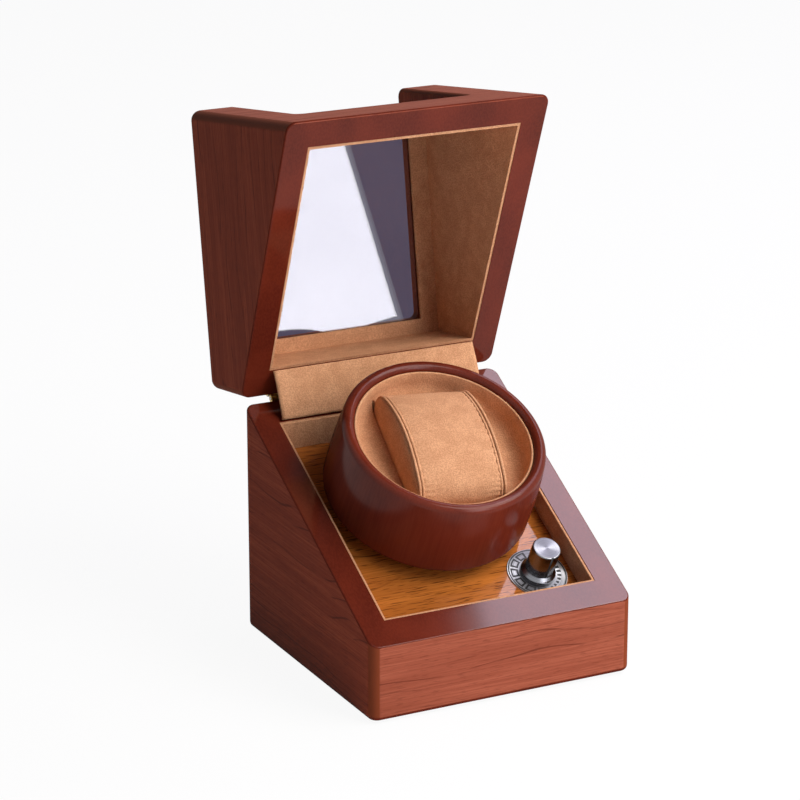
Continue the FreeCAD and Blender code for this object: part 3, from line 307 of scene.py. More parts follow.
# %% [markdown]
# The deck is a panel of lighter, golden veneer under a thick gloss. All its faces have the same grain,
# so it needs no face test. Bare plywood inside the box is the same recipe in pale tones with no gloss.

# %% Deck and plywood


def veneer_panel(name, along, crosswise, tones, coat):
    """Veneer with open pores under a coat, on all faces alike."""
    material, tree = begin(name)
    grain = grain_coordinates(tree, along, crosswise)
    colour, pores = veneer_colour(tree, grain, tones, spacing=9, pore_length=9, pore_share=0.75)
    dents = {"Height": pores, "Strength": 0.05, "Distance": PORE_DEPTH}
    relief = add(tree, "Bump", dents, invert=True)
    lacquer_over(tree, colour, relief, coat, coat_roughness=0.04)
    return material


deck_veneer = veneer_panel("veneer_deck", across, rim_up, DECK_TONES, coat=0.9)
plywood = veneer_panel("plywood_birch", across, rearward, PLYWOOD_TONES, coat=0.0)
give(deck_veneer, "deck_panel")
give(plywood, "corner_blocks", "bottom_panel", "deck_cleats", "barrel_floor")
print("panels", deck_veneer.name, plywood.name)

# %% [markdown]
# The barrel is turned from solid wood, stained like the rims and lacquered to a satin gloss, which
# spreads each highlight. Its fibres run along the turning axis, so they show as faint upright streaks
# on the side.

# %% Stained lacquer of the barrel
FIBRE_HEIGHT = 0.2 * MM


def stained_lacquer(name, along, crosswise):
    """Stained wood with fibres that stand up a little under satin lacquer."""
    material, tree = begin(name)
    coordinates = grain_coordinates(tree, along, crosswise)
    colour = stained_colour(tree, coordinates)
    fibres = stretched_noise(tree, coordinates, 12, 0.8, 2)
    relief = add(tree, "Bump", {"Height": fibres, "Strength": 0.03, "Distance": FIBRE_HEIGHT})
    lacquer_over(tree, colour, relief, coat=0.32, coat_roughness=0.18)
    return material


barrel_lacquer = stained_lacquer("lacquer_barrel", rim_normal, across)
give(barrel_lacquer, "barrel_shell")
print("barrel finish", barrel_lacquer.name)

# %% [markdown]
# The lining is a short-pile velvet, close to suede. Pile leans different ways, so the colour is mottled
# in patches of a few millimetres and speckled at the scale of the fibre tufts, and the fibre tips catch
# light at a glancing angle, which the sheen setting gives. The real fibres are finer than a pixel, so
# the speckle is drawn about half a millimetre wide to show. Felt is the same with coarser tufts.

# %% Velvet and felt
TUFT_HEIGHT = 0.3 * MM
PATCH_SIZE = 7


def pile_cloth(name, light, dark, sheen, tuft):
    """Cloth with a pile of tufts so many millimetres wide."""
    material, tree = begin(name)
    coordinates = grain_coordinates(tree, across, rearward)
    speckle = streaks(tree, coordinates, tuft, tuft, 2, low=0.35, high=0.65)
    patches = streaks(tree, coordinates, PATCH_SIZE, PATCH_SIZE, 3, low=0.3, high=0.7)
    leaning = laid_over(tree, linear(light), linear(dark), patches, share=(0.05, 0.3))
    colour = laid_over(tree, leaning, linear(dark), speckle, share=(0.0, 0.5))
    relief = add(tree, "Bump", {"Height": speckle, "Strength": 0.5, "Distance": TUFT_HEIGHT})
    shader = add(tree, "BsdfPrincipled", {
        "Base Color": colour, "Roughness": 0.95, "IOR": 1.45, "Specular IOR Level": 0.1,
        "Sheen Weight": sheen, "Sheen Roughness": 0.45, "Sheen Tint": linear(light), "Normal": relief,
    })
    add(tree, "OutputMaterial", {"Surface": shader})
    return material


velvet = pile_cloth("velvet_tan", "#dea981", "#aa744e", sheen=0.25, tuft=0.55)
felt = pile_cloth("felt_charcoal", "#3a3632", "#22201e", sheen=0.2, tuft=0.8)
print("cloths", velvet.name, felt.name)

# %% [markdown]
# The knob and its plate are aluminium turned on a lathe. The tool leaves rings round the axis, and the
# rings spread each highlight into the bright wedges that spun metal shows. The shader spreads it along
# a tangent that runs round the axis, and a fine ripple of the radius draws the rings. They are a
# quarter of a millimetre apart on the knob, which is coarser than the real cut, so that they show. The
# knob's side is polished smoother than its top.

# %% Spun aluminium
RING_DEPTH = 0.1 * MM


def spun_metal(name, dark, light, ring, roughness, side_roughness=None):
    """Metal turned about the knob's axis, with cut rings so many millimetres apart."""
    material, tree = begin(name)
    place = add(tree, "NewGeometry", output="Position")
    arm = add(tree, "VectorMath", {0: place, 1: knob_axis_point}, operation="SUBTRACT")
    round_axis = add(tree, "VectorMath", {0: rim_normal, 1: arm}, operation="CROSS_PRODUCT")
    tangent = add(tree, "VectorMath", {0: round_axis}, operation="NORMALIZE")
    radius = add(tree, "VectorMath", {0: round_axis}, "Value", operation="LENGTH")
    cut = {"W": radius, "Scale": 1 / (ring * MM), "Detail": 2.0}
    ripple = add(tree, "TexNoise", cut, "Fac", noise_dimensions="1D")
    shade = laid_over(tree, linear(dark), linear(light), ripple, span=(0.3, 0.7))
    relief = add(tree, "Bump", {"Height": ripple, "Strength": 0.15, "Distance": RING_DEPTH})
    if side_roughness is not None:
        on_top = facing(tree, rim_normal, start=0.9, end=0.98)
        roughness = add(tree, "MapRange", {"Value": on_top, "To Min": side_roughness, "To Max": roughness},
                        interpolation_type="SMOOTHSTEP")
    shader = add(tree, "BsdfPrincipled", {
        "Base Color": shade, "Metallic": 1.0, "Roughness": roughness, "Normal": relief,
        "Anisotropic": 0.95, "Tangent": tangent,
    })
    add(tree, "OutputMaterial", {"Surface": shader})
    return material


knob_metal = spun_metal("aluminium_spun", "#6a6b70", "#8c8d92", 0.25, 0.34, side_roughness=0.2)
plate_metal = spun_metal("aluminium_plate", "#8e8f93", "#c0c1c5", 0.5, 0.5)
give(knob_metal, "knob_cap")
give(plate_metal, "scale_plate")
print("metals", knob_metal.name, plate_metal.name)

# %% [markdown]
# The window is one sheet of clear acrylic, bent by heat. Clear does not mean colourless: the sheet is a
# little grey, unevenly over centimetres, and its hard coat mirrors the lamps.

# %% Clear acrylic
CLOUD_SIZE = 60


def clear_acrylic(name, light, dark):
    """Clear sheet with a faint, slow tint and a hard coat."""
    material, tree = begin(name)
    coordinates = grain_coordinates(tree, across, rearward)
    cloud = stretched_noise(tree, coordinates, CLOUD_SIZE, CLOUD_SIZE, 1)
    tint = laid_over(tree, linear(light), linear(dark), cloud, span=(0.3, 0.7))
    shader = add(tree, "BsdfPrincipled", {
        "Base Color": tint, "Roughness": 0.0, "IOR": 1.49, "Transmission Weight": 1.0,
        "Coat Weight": 0.7, "Coat Roughness": 0.0, "Coat IOR": 1.5,
    })
    add(tree, "OutputMaterial", {"Surface": shader})
    return material


acrylic = clear_acrylic("acrylic_clear", "#eceaf0", "#e2e0e8")
give(acrylic, "window_pane")
print("window", acrylic.name)

# %% [markdown]
# The pieces inside the box rarely show, but they have their own real finishes. Steel and brass are drawn
# or rolled, which leaves fine lines. Nylon, plastic, foam and the green board are moulded or pressed,
# which leaves a faint grain. So two recipes do for all of them.

# %% Hardware finishes
GRAIN_HEIGHT = 0.2 * MM


def worked_metal(name, colour, streak, roughness):
    """Metal with fine drawn lines a third of a millimetre apart, along X."""
    material, tree = begin(name)
    coordinates = grain_coordinates(tree, across, rearward)
    lines = stretched_noise(tree, coordinates, 14, 0.33, 2)
    shade = laid_over(tree, linear(colour), linear(streak), lines, span=(0.3, 0.7))
    uneven = add(tree, "MapRange", {
        "Value": lines, "From Min": 0.2, "From Max": 0.8,
        "To Min": roughness - 0.06, "To Max": roughness + 0.08,
    }, interpolation_type="SMOOTHSTEP")
    shader = add(tree, "BsdfPrincipled", {"Base Color": shade, "Metallic": 1.0, "Roughness": uneven})
    add(tree, "OutputMaterial", {"Surface": shader})
    return material


def moulded(name, light, dark, roughness, size=0.6):
    """Moulded plastic, foam or board with a soft grain of the given size in millimetres."""
    material, tree = begin(name)
    coordinates = grain_coordinates(tree, across, rearward)
    grain = stretched_noise(tree, coordinates, size, size, 3)
    shade = laid_over(tree, linear(light), linear(dark), grain, span=(0.3, 0.7))
    relief = add(tree, "Bump", {"Height": grain, "Strength": 0.12, "Distance": GRAIN_HEIGHT})
    shader = add(tree, "BsdfPrincipled", {
        "Base Color": shade, "Roughness": roughness, "IOR": 1.5, "Normal": relief,
    })
    add(tree, "OutputMaterial", {"Surface": shader})
    return material


steel = worked_metal("steel_drawn", "#8f9094", "#c3c4c8", 0.34)
brass = worked_metal("brass_rolled", "#a8823c", "#d9b86a", 0.3)
nylon = moulded("nylon_natural", "#e2dfd2", "#cfcab8", 0.5)
black_plastic = moulded("plastic_black", "#1c1c1e", "#101012", 0.45)
foam = moulded("foam_cream", "#e5dcc4", "#c8bb9c", 0.9, size=1.2)
board_green = moulded("circuit_board_green", "#1f5a36", "#174428", 0.4, size=2.5)
give(steel, "hinge_base_screws", "hinge_lid_screws", "bottom_screws", "bracket_screws", "motor_screws",
     "board_screws", "hub_screws", "spindle", "retaining_ring", "motor_bracket", "bracket_spacers",
     "gearbox_shaft", "switch_shaft", "switch_nut", "motor_can", "gearbox_housing", "hinge_pins",
     "jack_nut")
give(brass, "hinge_base_leaves", "hinge_lid_leaves", "spindle_bush")
give(nylon, "thrust_washer", "drum_gear", "motor_pinion", "board_spacers")
give(black_plastic, "rotary_switch", "dc_jack")
give(board_green, "control_board")
give(foam, "pillow_core")
print("hardware finishes", steel.name, brass.name, nylon.name)

# %% [markdown]
# Now the velvet pieces. A piece is a mesh object in metres in the same frame as the imported model. A
# piece rides on the body that carries it, if it has one, and most hide the plain solid that stands for
# them.
# Most forms here are skinned over a row of rings, which gives direct control of every curve.

# %% Helpers for new pieces
SOFT_ANGLE = math.radians(35)
MERGE_DISTANCE = 1e-7


def face_outwards(made):
    """Merge points that coincide and turn all faces outwards."""
    form = bmesh.new()
    form.from_mesh(made.data)
    bmesh.ops.remove_doubles(form, verts=form.verts, dist=MERGE_DISTANCE)
    bmesh.ops.recalc_face_normals(form, faces=form.faces)
    form.to_mesh(made.data)
    form.free()


def piece(name, vertices, faces, material, body):
    """Mesh object from points in metres, shaded smooth and riding on a body, if one is given."""
    mesh = bpy.data.meshes.new(name)
    mesh.from_pydata([tuple(v) for v in vertices], [], faces)
    mesh.validate()
    mesh.materials.append(material)
    for polygon in mesh.polygons:
        polygon.use_smooth = True
    made = bpy.data.objects.new(name, mesh)
    bpy.context.scene.collection.objects.link(made)
    face_outwards(made)
    if body:
        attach(made, body)
    return made


def band_faces(rows, count):
    """Faces between neighbouring rows of points, each row a closed loop of the same count."""
    faces = []
    for row in range(rows - 1):
        low = row * count
        high = low + count
        for i in range(count):
            j = (i + 1) % count
            faces.append((low + i, low + j, high + j, high + i))
    return faces


def skin(rings, closed_ends=True):
    """Points and faces over rings, each ring a closed loop of points."""
    count = len(rings[0])
    points = [point for ring in rings for point in ring]
    faces = band_faces(len(rings), count)
    if closed_ends:
        faces.append(tuple(reversed(range(count))))
        faces.append(tuple(range(len(points) - count, len(points))))
    return points, faces


def soften(made, width, segments):
    """Round the sharp edges of a piece by so many millimetres."""
    bevel = made.modifiers.new("soft_edges", "BEVEL")
    bevel.width = width * MM
    bevel.segments = segments
    bevel.limit_method = "ANGLE"
    bevel.angle_limit = SOFT_ANGLE
    bevel.use_clamp_overlap = True


print("edges sharper than", round(math.degrees(SOFT_ANGLE)), "degrees are softened")

# %% [markdown]
# The pillow is a foam block with a velvet saddle over it and a padded oval sewn on each end. Its side
# view is an oval: a broad arc over the top and under the bottom, and a tight arc round each tip. Where
# the cloth is drawn in, both arcs shrink together, so that they still meet smoothly.

# %% The pillow's side view
PILLOW_TURN = math.radians(-6.4)
PILLOW_HALF_LENGTH = 32.0
PILLOW_HALF_HEIGHT = 15.5
PILLOW_MIDDLE = 22.5
PILLOW_TIP_RADIUS = 11.0
TIP_SHARE = 0.4
QUARTER_TURN = math.pi / 2
pillow_matrix = rim_frame(barrel_axis_point, PILLOW_TURN)


def oval_point(turn, draw):
    """Point of the pillow's side view at a turn round it, drawn in by some millimetres."""
    reach = PILLOW_HALF_LENGTH - PILLOW_TIP_RADIUS
    tip = PILLOW_TIP_RADIUS - draw
    high = PILLOW_HALF_HEIGHT - draw
    broad = (reach ** 2 + high ** 2 - tip ** 2) / (2 * (high - tip))
    lean = math.atan2(reach, broad - high)
    in_half = turn % math.pi
    share = (QUARTER_TURN - abs(in_half - QUARTER_TURN)) / QUARTER_TURN
    if share < TIP_SHARE:
        swing = share / TIP_SHARE * (QUARTER_TURN - lean)
        y = reach + tip * math.cos(swing)
        z = tip * math.sin(swing)
    else:
        swing = lean * (1 - (share - TIP_SHARE) / (1 - TIP_SHARE))
        y = broad * math.sin(swing)
        z = broad * math.cos(swing) - (broad - high)
    upper = 1 if turn % math.tau < math.pi else -1
    side = upper if in_half < QUARTER_TURN else -upper
    return side * y, upper * z


print("pillow", 2 * PILLOW_HALF_LENGTH, "mm long and", 2 * PILLOW_HALF_HEIGHT, "mm high")

# %% [markdown]
# The saddle swells in the middle and draws in at the seams. Where the thread pulls it in, the cloth
# gathers into small puckers that fade towards the middle, and hand stuffing leaves it a little lumpy.
# A cloth simulation could find such folds, but these are finer than a mesh that it could settle, so
# they are drawn straight into the rings.

# %% Swell, lumps and gathers
SADDLE_HALF = 19.0
OVAL_STEPS = 240
GATHERS = 48
PUCKER_DEPTH = 0.35
PUCKER_REACH = 3.5


def pucker(x, turn):
    """Depth of the gathers at a turn round the saddle, strongest at a seam."""
    from_seam = SADDLE_HALF - abs(x)
    uneven = 2.5 * noise.noise(Vector((math.cos(turn) * 3, math.sin(turn) * 3, x * 0.02)))
    return PUCKER_DEPTH * math.exp(-from_seam / PUCKER_REACH) * math.sin(GATHERS * turn + uneven)


def oval_ring(x, draw, lump=0.0, gathered=False):
    """Ring of points across the pillow, with lumps and gathers of the stuffed cloth."""
    ring = []
    for step in range(OVAL_STEPS):
        turn = math.tau * step / OVAL_STEPS
        wander = lump * noise.noise(Vector((x * 0.09, math.cos(turn) * 1.7, math.sin(turn) * 1.7)))
        if gathered:
            wander += pucker(x, turn)
        y, z = oval_point(turn, draw + wander)
        ring.append(pillow_matrix @ (Vector((x, y, PILLOW_MIDDLE + z)) * MM))
    return ring


def saddle_draw(x):
    """How far the saddle is drawn in: hardly in the middle, a little near a seam, sharply at it."""
    from_seam = SADDLE_HALF - abs(x)
    return 0.18 + 0.55 * math.exp(-from_seam / 6) + 1.67 * math.exp(-from_seam / 0.5)


print("gathers", GATHERS, "up to", PUCKER_DEPTH, "mm deep")

# %% [markdown]
# The saddle's rings lie closer together near the seams, where its shape changes fast. Each end is a
# shallow cushion, given as a row of distances from the middle and of how far the oval is drawn in there.

# %% Saddle and ends of the pillow
SADDLE_RINGS = 24
SADDLE_LUMP = 0.25
END_LUMP = 0.12
END_STEPS = [
    (19.0, 2.4), (19.3, 1.5), (19.9, 0.9), (20.7, 1.1), (21.2, 2.0), (21.6, 3.6), (21.9, 6.0), (22.0, 9.0),
]
SIDES = (("left", -1), ("right", 1))

saddle_rings = []
for step in range(-SADDLE_RINGS, SADDLE_RINGS + 1):
    x = SADDLE_HALF * math.sin(math.pi / 2 * step / SADDLE_RINGS)
    saddle_rings.append(oval_ring(x, saddle_draw(x), SADDLE_LUMP, gathered=True))
saddle_points, saddle_faces = skin(saddle_rings)
saddle = piece("pillow_saddle", saddle_points, saddle_faces, velvet, "pillow")
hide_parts("pillow_cover", "pillow_core")
for side, sign in SIDES:
    points, faces = skin([oval_ring(sign * x, draw, END_LUMP) for x, draw in END_STEPS])
    cushion = piece(f"pillow_end_{side}", points, faces, velvet, "pillow")
    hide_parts(f"pillow_{side}_end")
print("pillow saddle", len(saddle_faces), "faces, and two ends")

# %% [markdown]
# Piping is a thin cord sewn under a strip of the same velvet. It is a tube swept round the oval. The
# photograph shows two rows beside each other at the seam, so each end gets two.

# %% Piping round the pillow's ends
PIPING_RADIUS = 0.7
PIPING_SIDES = 8
PIPING_ROWS = ((18.4, 0.95), (20.0, 0.75))


def piping(name, x, draw):
    """Closed tube round the pillow's oval at a distance from the middle."""
    rings = []
    middle = pillow_matrix @ (Vector((x, 0, PILLOW_MIDDLE)) * MM)
    sideways = (pillow_matrix.to_3x3() @ Vector((1, 0, 0))).normalized()
    for centre in oval_ring(x, draw):
        outward = (centre - middle).normalized()
        ring = []
        for step in range(PIPING_SIDES):
            turn = math.tau * step / PIPING_SIDES
            offset = outward * math.cos(turn) + sideways * math.sin(turn)
            ring.append(centre + offset * PIPING_RADIUS * MM)
        rings.append(ring)
    points, faces = skin(rings + rings[:1], closed_ends=False)
    piece(name, points, faces, velvet, "pillow")


for side, sign in SIDES:
    for row, (x, draw) in enumerate(PIPING_ROWS):
        piping(f"pillow_piping_{side}_{row}", sign * x, draw)
print("piping rows", len(SIDES) * len(PIPING_ROWS))

# %% [markdown]
# The cup is foam covered with the same velvet: a band up the barrel's bore with a rounded lip, a soft
# curve at the bottom and a floor with a pocket for the pillow. The form is turned from a profile, and
# the pocket is cut out of it with a boolean, because it has to be open when the pillow is lifted.

# %% Helpers for turning and cutting


def turned_form(profile, steps):
    """Points and faces of a profile of radius and height turned about Z."""
    points = []
    for radius, height in profile:
        for step in range(steps):
            turn = math.tau * step / steps
            points.append(Vector((radius * math.cos(turn), radius * math.sin(turn), height)) * MM)
    return points, band_faces(len(profile), steps)


def rounded_block(half_x, half_y, low, high, radius, steps):
    """Upright block with rounded corners."""
    loop = []
    for corner, (sx, sy) in enumerate(((1, 1), (-1, 1), (-1, -1), (1, -1))):
        for step in range(steps + 1):
            turn = math.radians(90 * corner + 90 * step / steps)
            loop.append((sx * (half_x - radius) + radius * math.cos(turn),
                         sy * (half_y - radius) + radius * math.sin(turn)))
    return skin([[Vector((x, y, z)) * MM for x, y in loop] for z in (low, high)])


def cut_away(target, points, faces):
    """Cut a closed form out of a piece and keep the result as its mesh."""
    mesh = bpy.data.meshes.new("cutter")
    mesh.from_pydata([tuple(p) for p in points], [], faces)
    cutter = bpy.data.objects.new("cutter", mesh)
    bpy.context.scene.collection.objects.link(cutter)
    face_outwards(cutter)
    cut = target.modifiers.new("pocket", "BOOLEAN")
    cut.operation = "DIFFERENCE"
    cut.object = cutter
    cut.solver = "EXACT"
    settled = target.evaluated_get(bpy.context.evaluated_depsgraph_get())
    result = bpy.data.meshes.new_from_object(settled)
    target.modifiers.clear()
    target.data = result
    bpy.data.objects.remove(cutter)


print("turning and cutting ready")

# %% [markdown]
# The profile runs from the bottom of the pad out and up the bore, over the lip, down the inside and
# through the curve to the middle of the floor. The pocket leaves a third of a millimetre round the
# pillow.

# %% The velvet cup in the barrel
CUP_STEPS = 128
CUP_UNDERSIDE = 1.15
CUP_FLOOR = 20.5
CUP_RADIUS = 39.4
CUP_OUTER = 40.45
CUP_TOP = 31.9
CUP_FILLET = 6.0
CUP_FILLET_STEPS = 8
CUP_FLOOR_RADIUS = 22.0
CUP_EDGE = 0.5
POCKET_HALF_WIDTH = 22.35
POCKET_HALF_LENGTH = 32.35
POCKET_FLOOR = 6.75
POCKET_CUT_TOP = 40.0
POCKET_ROUND = 1.2

cup_profile = [
    (0.0, CUP_UNDERSIDE),
    (CUP_OUTER, CUP_UNDERSIDE),
    (CUP_OUTER, CUP_TOP - 0.5),
    (CUP_OUTER - 0.15, CUP_TOP - 0.1),
    (CUP_OUTER - 0.5, CUP_TOP),
    (CUP_RADIUS + 0.15, CUP_TOP - 0.15),
    (CUP_RADIUS, CUP_TOP - 0.6),
]
for step in range(CUP_FILLET_STEPS + 1):
    turn = math.radians(90 * step / CUP_FILLET_STEPS)
    cup_profile.append((CUP_RADIUS - CUP_FILLET + CUP_FILLET * math.cos(turn),
                        CUP_FLOOR + CUP_FILLET - CUP_FILLET * math.sin(turn)))
cup_profile += [(CUP_FLOOR_RADIUS, CUP_FLOOR), (0.0, CUP_FLOOR)]
cup_points, cup_faces = turned_form(cup_profile, CUP_STEPS)
cup = piece("barrel_velvet_cup", cup_points, cup_faces, velvet, None)
pocket = rounded_block(
    POCKET_HALF_WIDTH, POCKET_HALF_LENGTH, POCKET_FLOOR, POCKET_CUT_TOP, POCKET_ROUND, steps=6)
cut_away(cup, *pocket)
cup.data.transform(pillow_matrix)
soften(cup, CUP_EDGE, segments=3)
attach(cup, "barrel")
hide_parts("barrel_cup", "barrel_roll", "barrel_lining")
print("cup faces", len(cup.data.polygons))

# %% [markdown]
# The walls' lining and the felt under the box are flat cloth glued to board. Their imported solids
# already have the right outline, so each piece starts as a copy of one, and a bevel rounds its cut
# edges the way folded cloth is rounded. Half of a thin sheet's skin is its flat area.

# %% Velvet linings and the felt underside
VELVET_EDGE = 0.35
FELT_EDGE = 0.25


def cloth_copy(name, node, material, body, edge):
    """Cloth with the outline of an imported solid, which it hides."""
    made = bpy.data.objects.new(name, nodes[node].data.copy())
    bpy.context.scene.collection.objects.link(made)
    made.data.materials.clear()
    made.data.materials.append(material)
    face_outwards(made)
    soften(made, edge, segments=2)
    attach(made, body)
    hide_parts(node)


cloth_copy("recess_velvet", "recess_lining", velvet, "base", VELVET_EDGE)
cloth_copy("lid_velvet", "lid_lining", velvet, "lid", VELVET_EDGE)
cloth_copy("lid_top_velvet", "lid_top_lining", velvet, "lid", VELVET_EDGE)
cloth_copy("felt_underside", "bottom_felt", felt, "base", FELT_EDGE)

# %% [markdown]
# The flap is one strip of velvet that hides the hinge gap. It is glued along the base's rear rim and
# along the lid, and it folds as the lid closes. Its mesh is a grid with thickness, bowed a little to the
# front and rippled; it keeps one shape and rides on neither body.

# %% The hinge flap
FLAP_COLUMNS = 60
FLAP_ROWS = 20
FLAP_HALF_THICKNESS = 0.5
FLAP_BOW = 0.7
FLAP_RIPPLE = 0.25
FLAP_INSET = 0.7
flap_low, flap_high = (Vector(corner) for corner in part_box("hinge_flap"))
flap_start = Vector((0, flap_low.y + FLAP_INSET * MM, flap_low.z + FLAP_INSET * MM))
flap_end = Vector((0, flap_high.y - FLAP_INSET * MM, flap_high.z - FLAP_INSET * MM))
flap_run = flap_end - flap_start
flap_front = Vector((0, -flap_run.z, flap_run.y)).normalized()
flap_half_width = (flap_high.x - flap_low.x) / 2


def flap_point(column, row, side):
    """Point of the flap's front or rear skin, bowed and slightly rippled."""
    x = (2 * column / FLAP_COLUMNS - 1) * flap_half_width
    share = row / FLAP_ROWS
    bow = FLAP_BOW * 4 * share * (1 - share)
    waves = noise.noise(Vector((x / MM * 0.09, share * 2.0, 3.0)))
    ripple = FLAP_RIPPLE * math.sin(math.pi * share) * waves
    offset = (bow + ripple + side * FLAP_HALF_THICKNESS) * MM
    return Vector((x, 0, 0)) + flap_start + flap_run * share + flap_front * offset


flap_loops = []
for row in range(FLAP_ROWS + 1):
    front_row = [flap_point(column, row, 1) for column in range(FLAP_COLUMNS + 1)]
    rear_row = [flap_point(column, row, -1) for column in range(FLAP_COLUMNS, -1, -1)]
    flap_loops.append(front_row + rear_row)
flap_points, flap_faces = skin(flap_loops)
flap = piece("velvet_flap", flap_points, flap_faces, velvet, None)
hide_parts("hinge_flap")
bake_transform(flap)
print("flap", round(2 * flap_half_width / MM), "mm wide,", round(flap_run.length / MM, 1), "mm across")

# %% [markdown]
# The plate under the knob carries a printed scale. It gets plain marks of its own: boxes round one half
# and bars of growing length round the other, inside a ring. They are ink raised by six hundredths of a
# millimetre, as one mesh, because a picture on the plate would need an image texture.

# %% Scale marks
MARK_HEIGHT = 0.06
PLATE_TOP = -10.4
RING_RADII = (12.9, 13.5)
BOX_COUNT = 6
BOX_RADII = (8.9, 9.7, 11.7, 12.4)
BOX_START = 96
BOX_PITCH = 30
BOX_SPAN = 25
BOX_LINE = 5
BAR_COUNT = 12
BAR_INNER = 9.2
BAR_OUTER = 10.2
BAR_GROWTH = 0.2
BAR_START = -76
BAR_PITCH = 13
BAR_SPAN = 7
DEGREES_PER_STEP = 4
ink = moulded("ink_black", "#17171a", "#0d0d0f", 0.5, size=0.4)
knob_place = rim_frame(knob_axis_point)
mark_points = []
mark_faces = []


def add_mark(inner, outer, start, end):
    """Add a flat curved bar between two radii and two angles in degrees."""
    steps = max(2, int(abs(end - start) / DEGREES_PER_STEP))
    turns = [math.radians(start + (end - start) * step / steps) for step in range(steps + 1)]
    loop = [(outer * math.cos(turn), outer * math.sin(turn)) for turn in turns]
    loop += [(inner * math.cos(turn), inner * math.sin(turn)) for turn in reversed(turns)]
    rings = []
    for z in (PLATE_TOP, PLATE_TOP + MARK_HEIGHT):
        rings.append([knob_place @ (Vector((x, y, z)) * MM) for x, y in loop])
    points, faces = skin(rings)
    first_point = len(mark_points)
    mark_points.extend(points)
    mark_faces.extend(tuple(i + first_point for i in face) for face in faces)


add_mark(*RING_RADII, 0, 359.9)
box_inner, box_inner_line, box_outer_line, box_outer = BOX_RADII
for index in range(BOX_COUNT):
    start = BOX_START + index * BOX_PITCH
    end = start + BOX_SPAN
    add_mark(box_inner, box_inner_line, start, end)
    add_mark(box_outer_line, box_outer, start, end)
    add_mark(box_inner_line, box_outer_line, start, start + BOX_LINE)
    add_mark(box_inner_line, box_outer_line, end - BOX_LINE, end)
for index in range(BAR_COUNT):
    start = BAR_START + index * BAR_PITCH
    add_mark(BAR_INNER, BAR_OUTER + BAR_GROWTH * index, start, start + BAR_SPAN)
marks = piece("scale_marks", mark_points, mark_faces, ink, "base")
for polygon in marks.data.polygons:
    polygon.use_smooth = False
print("scale marks", len(mark_faces), "faces")

# %% [markdown]
# The knob's pointer is a groove filled with the same ink. It is a slim block let into the knob's side,
# so that it turns with the knob.

# %% The knob's pointer
POINTER_HALF_WIDTH = 0.48
POINTER_HALF_DEPTH = 0.22
POINTER_LOW = -7.0
POINTER_HIGH = 5.9
POINTER_ROUND = 0.15
POINTER_OUT = 6.13
pointer_points, pointer_faces = rounded_block(
    POINTER_HALF_WIDTH, POINTER_HALF_DEPTH, POINTER_LOW, POINTER_HIGH, POINTER_ROUND, steps=3)
pointer_place = knob_place @ Matrix.Translation(Vector((0, -POINTER_OUT, 0)) * MM)
piece("knob_pointer_inlay", [pointer_place @ point for point in pointer_points], pointer_faces, ink,
      "knob")
print("pointer", len(pointer_faces), "faces")

# %% [markdown]
# The stage is a pale floor before a white background. Both are plain white where the eye meets them
# straight, in a reflection or through the window. To light that has already met a matt surface the
# background is dim and the floor is plain paper, so that the lamps do most of the lighting. The floor
# keeps a little of its own shading, and with it the object's shadow.

# %% Floor and background
WHITE = (1.0, 1.0, 1.0, 1.0)
FLOOR_HALF = 6.0
FLOOR_HEIGHT = -0.0002
FLOOR_GLOW = 0.93
ROOM_LIGHT = 0.12


def sees_background(tree):
    """One where the eye meets the stage: straight, in a reflection or through the window."""
    share = add(tree, "LightPath", output="Is Camera Ray")
    for ray in ("Is Glossy Ray", "Is Transmission Ray"):
        also = add(tree, "LightPath", output=ray)
        share = add(tree, "Math", {0: share, 1: also}, operation="MAXIMUM")
    matt_bounces = add(tree, "LightPath", output="Diffuse Depth")
    first_look = add(tree, "Math", {0: matt_bounces, 1: 0.5}, operation="LESS_THAN")
    return add(tree, "Math", {0: share, 1: first_look}, operation="MULTIPLY")


def pale_floor():
    """Matt pale paper that glows white to the eye."""
    material, tree = begin("floor_pale")
    place = add(tree, "TexCoord", output="Object")
    cloud = add(tree, "TexNoise", {"Vector": place, "Scale": 3.0}, "Fac")
    pale = {0: cloud, 6: linear("#f4f4f4"), 7: linear("#fafafa")}
    colour = add(tree, "Mix", pale, 2, data_type="RGBA")
    paper = add(tree, "BsdfDiffuse", {"Color": colour})
    glow = add(tree, "Emission", {"Color": WHITE, "Strength": 1.0})
    share = add(tree, "Math", {0: sees_background(tree), 1: FLOOR_GLOW}, operation="MULTIPLY")
    shader = add(tree, "MixShader", {0: share, 1: paper, 2: glow})
    add(tree, "OutputMaterial", {"Surface": shader})
    return material


def stage_panel(name, corners, material):
    """Flat panel that belongs to the stage, not to the object."""
    mesh = bpy.data.meshes.new(name)
    mesh.from_pydata(corners, [], [(0, 1, 2, 3)])
    mesh.materials.append(material)
    made = bpy.data.objects.new(name, mesh)
    bpy.context.scene.collection.objects.link(made)
    return made


def rectangle(low, high):
    """Corners of a rectangle, in order round it, from two opposite ones."""
    return [(low[0], low[1]), (high[0], low[1]), (high[0], high[1]), (low[0], high[1])]


floor_outline = rectangle((-FLOOR_HALF, -FLOOR_HALF), (FLOOR_HALF, FLOOR_HALF))
stage_panel("floor", [(x, y, FLOOR_HEIGHT) for x, y in floor_outline], pale_floor())

world = bpy.data.worlds.new("studio")
bpy.context.scene.world = world
world.use_nodes = True
sky = world.node_tree
sky.nodes.clear()
room = add(sky, "Background", {"Color": linear("#f2f4ff"), "Strength": ROOM_LIGHT})
backdrop = add(sky, "Background", {"Color": WHITE, "Strength": 1.0})
split = add(sky, "MixShader", {0: sees_background(sky), 1: room, 2: backdrop})
add(sky, "OutputWorld", {"Surface": split})
bpy.context.scene.view_settings.view_transform = "Standard"
print("floor and world ready")

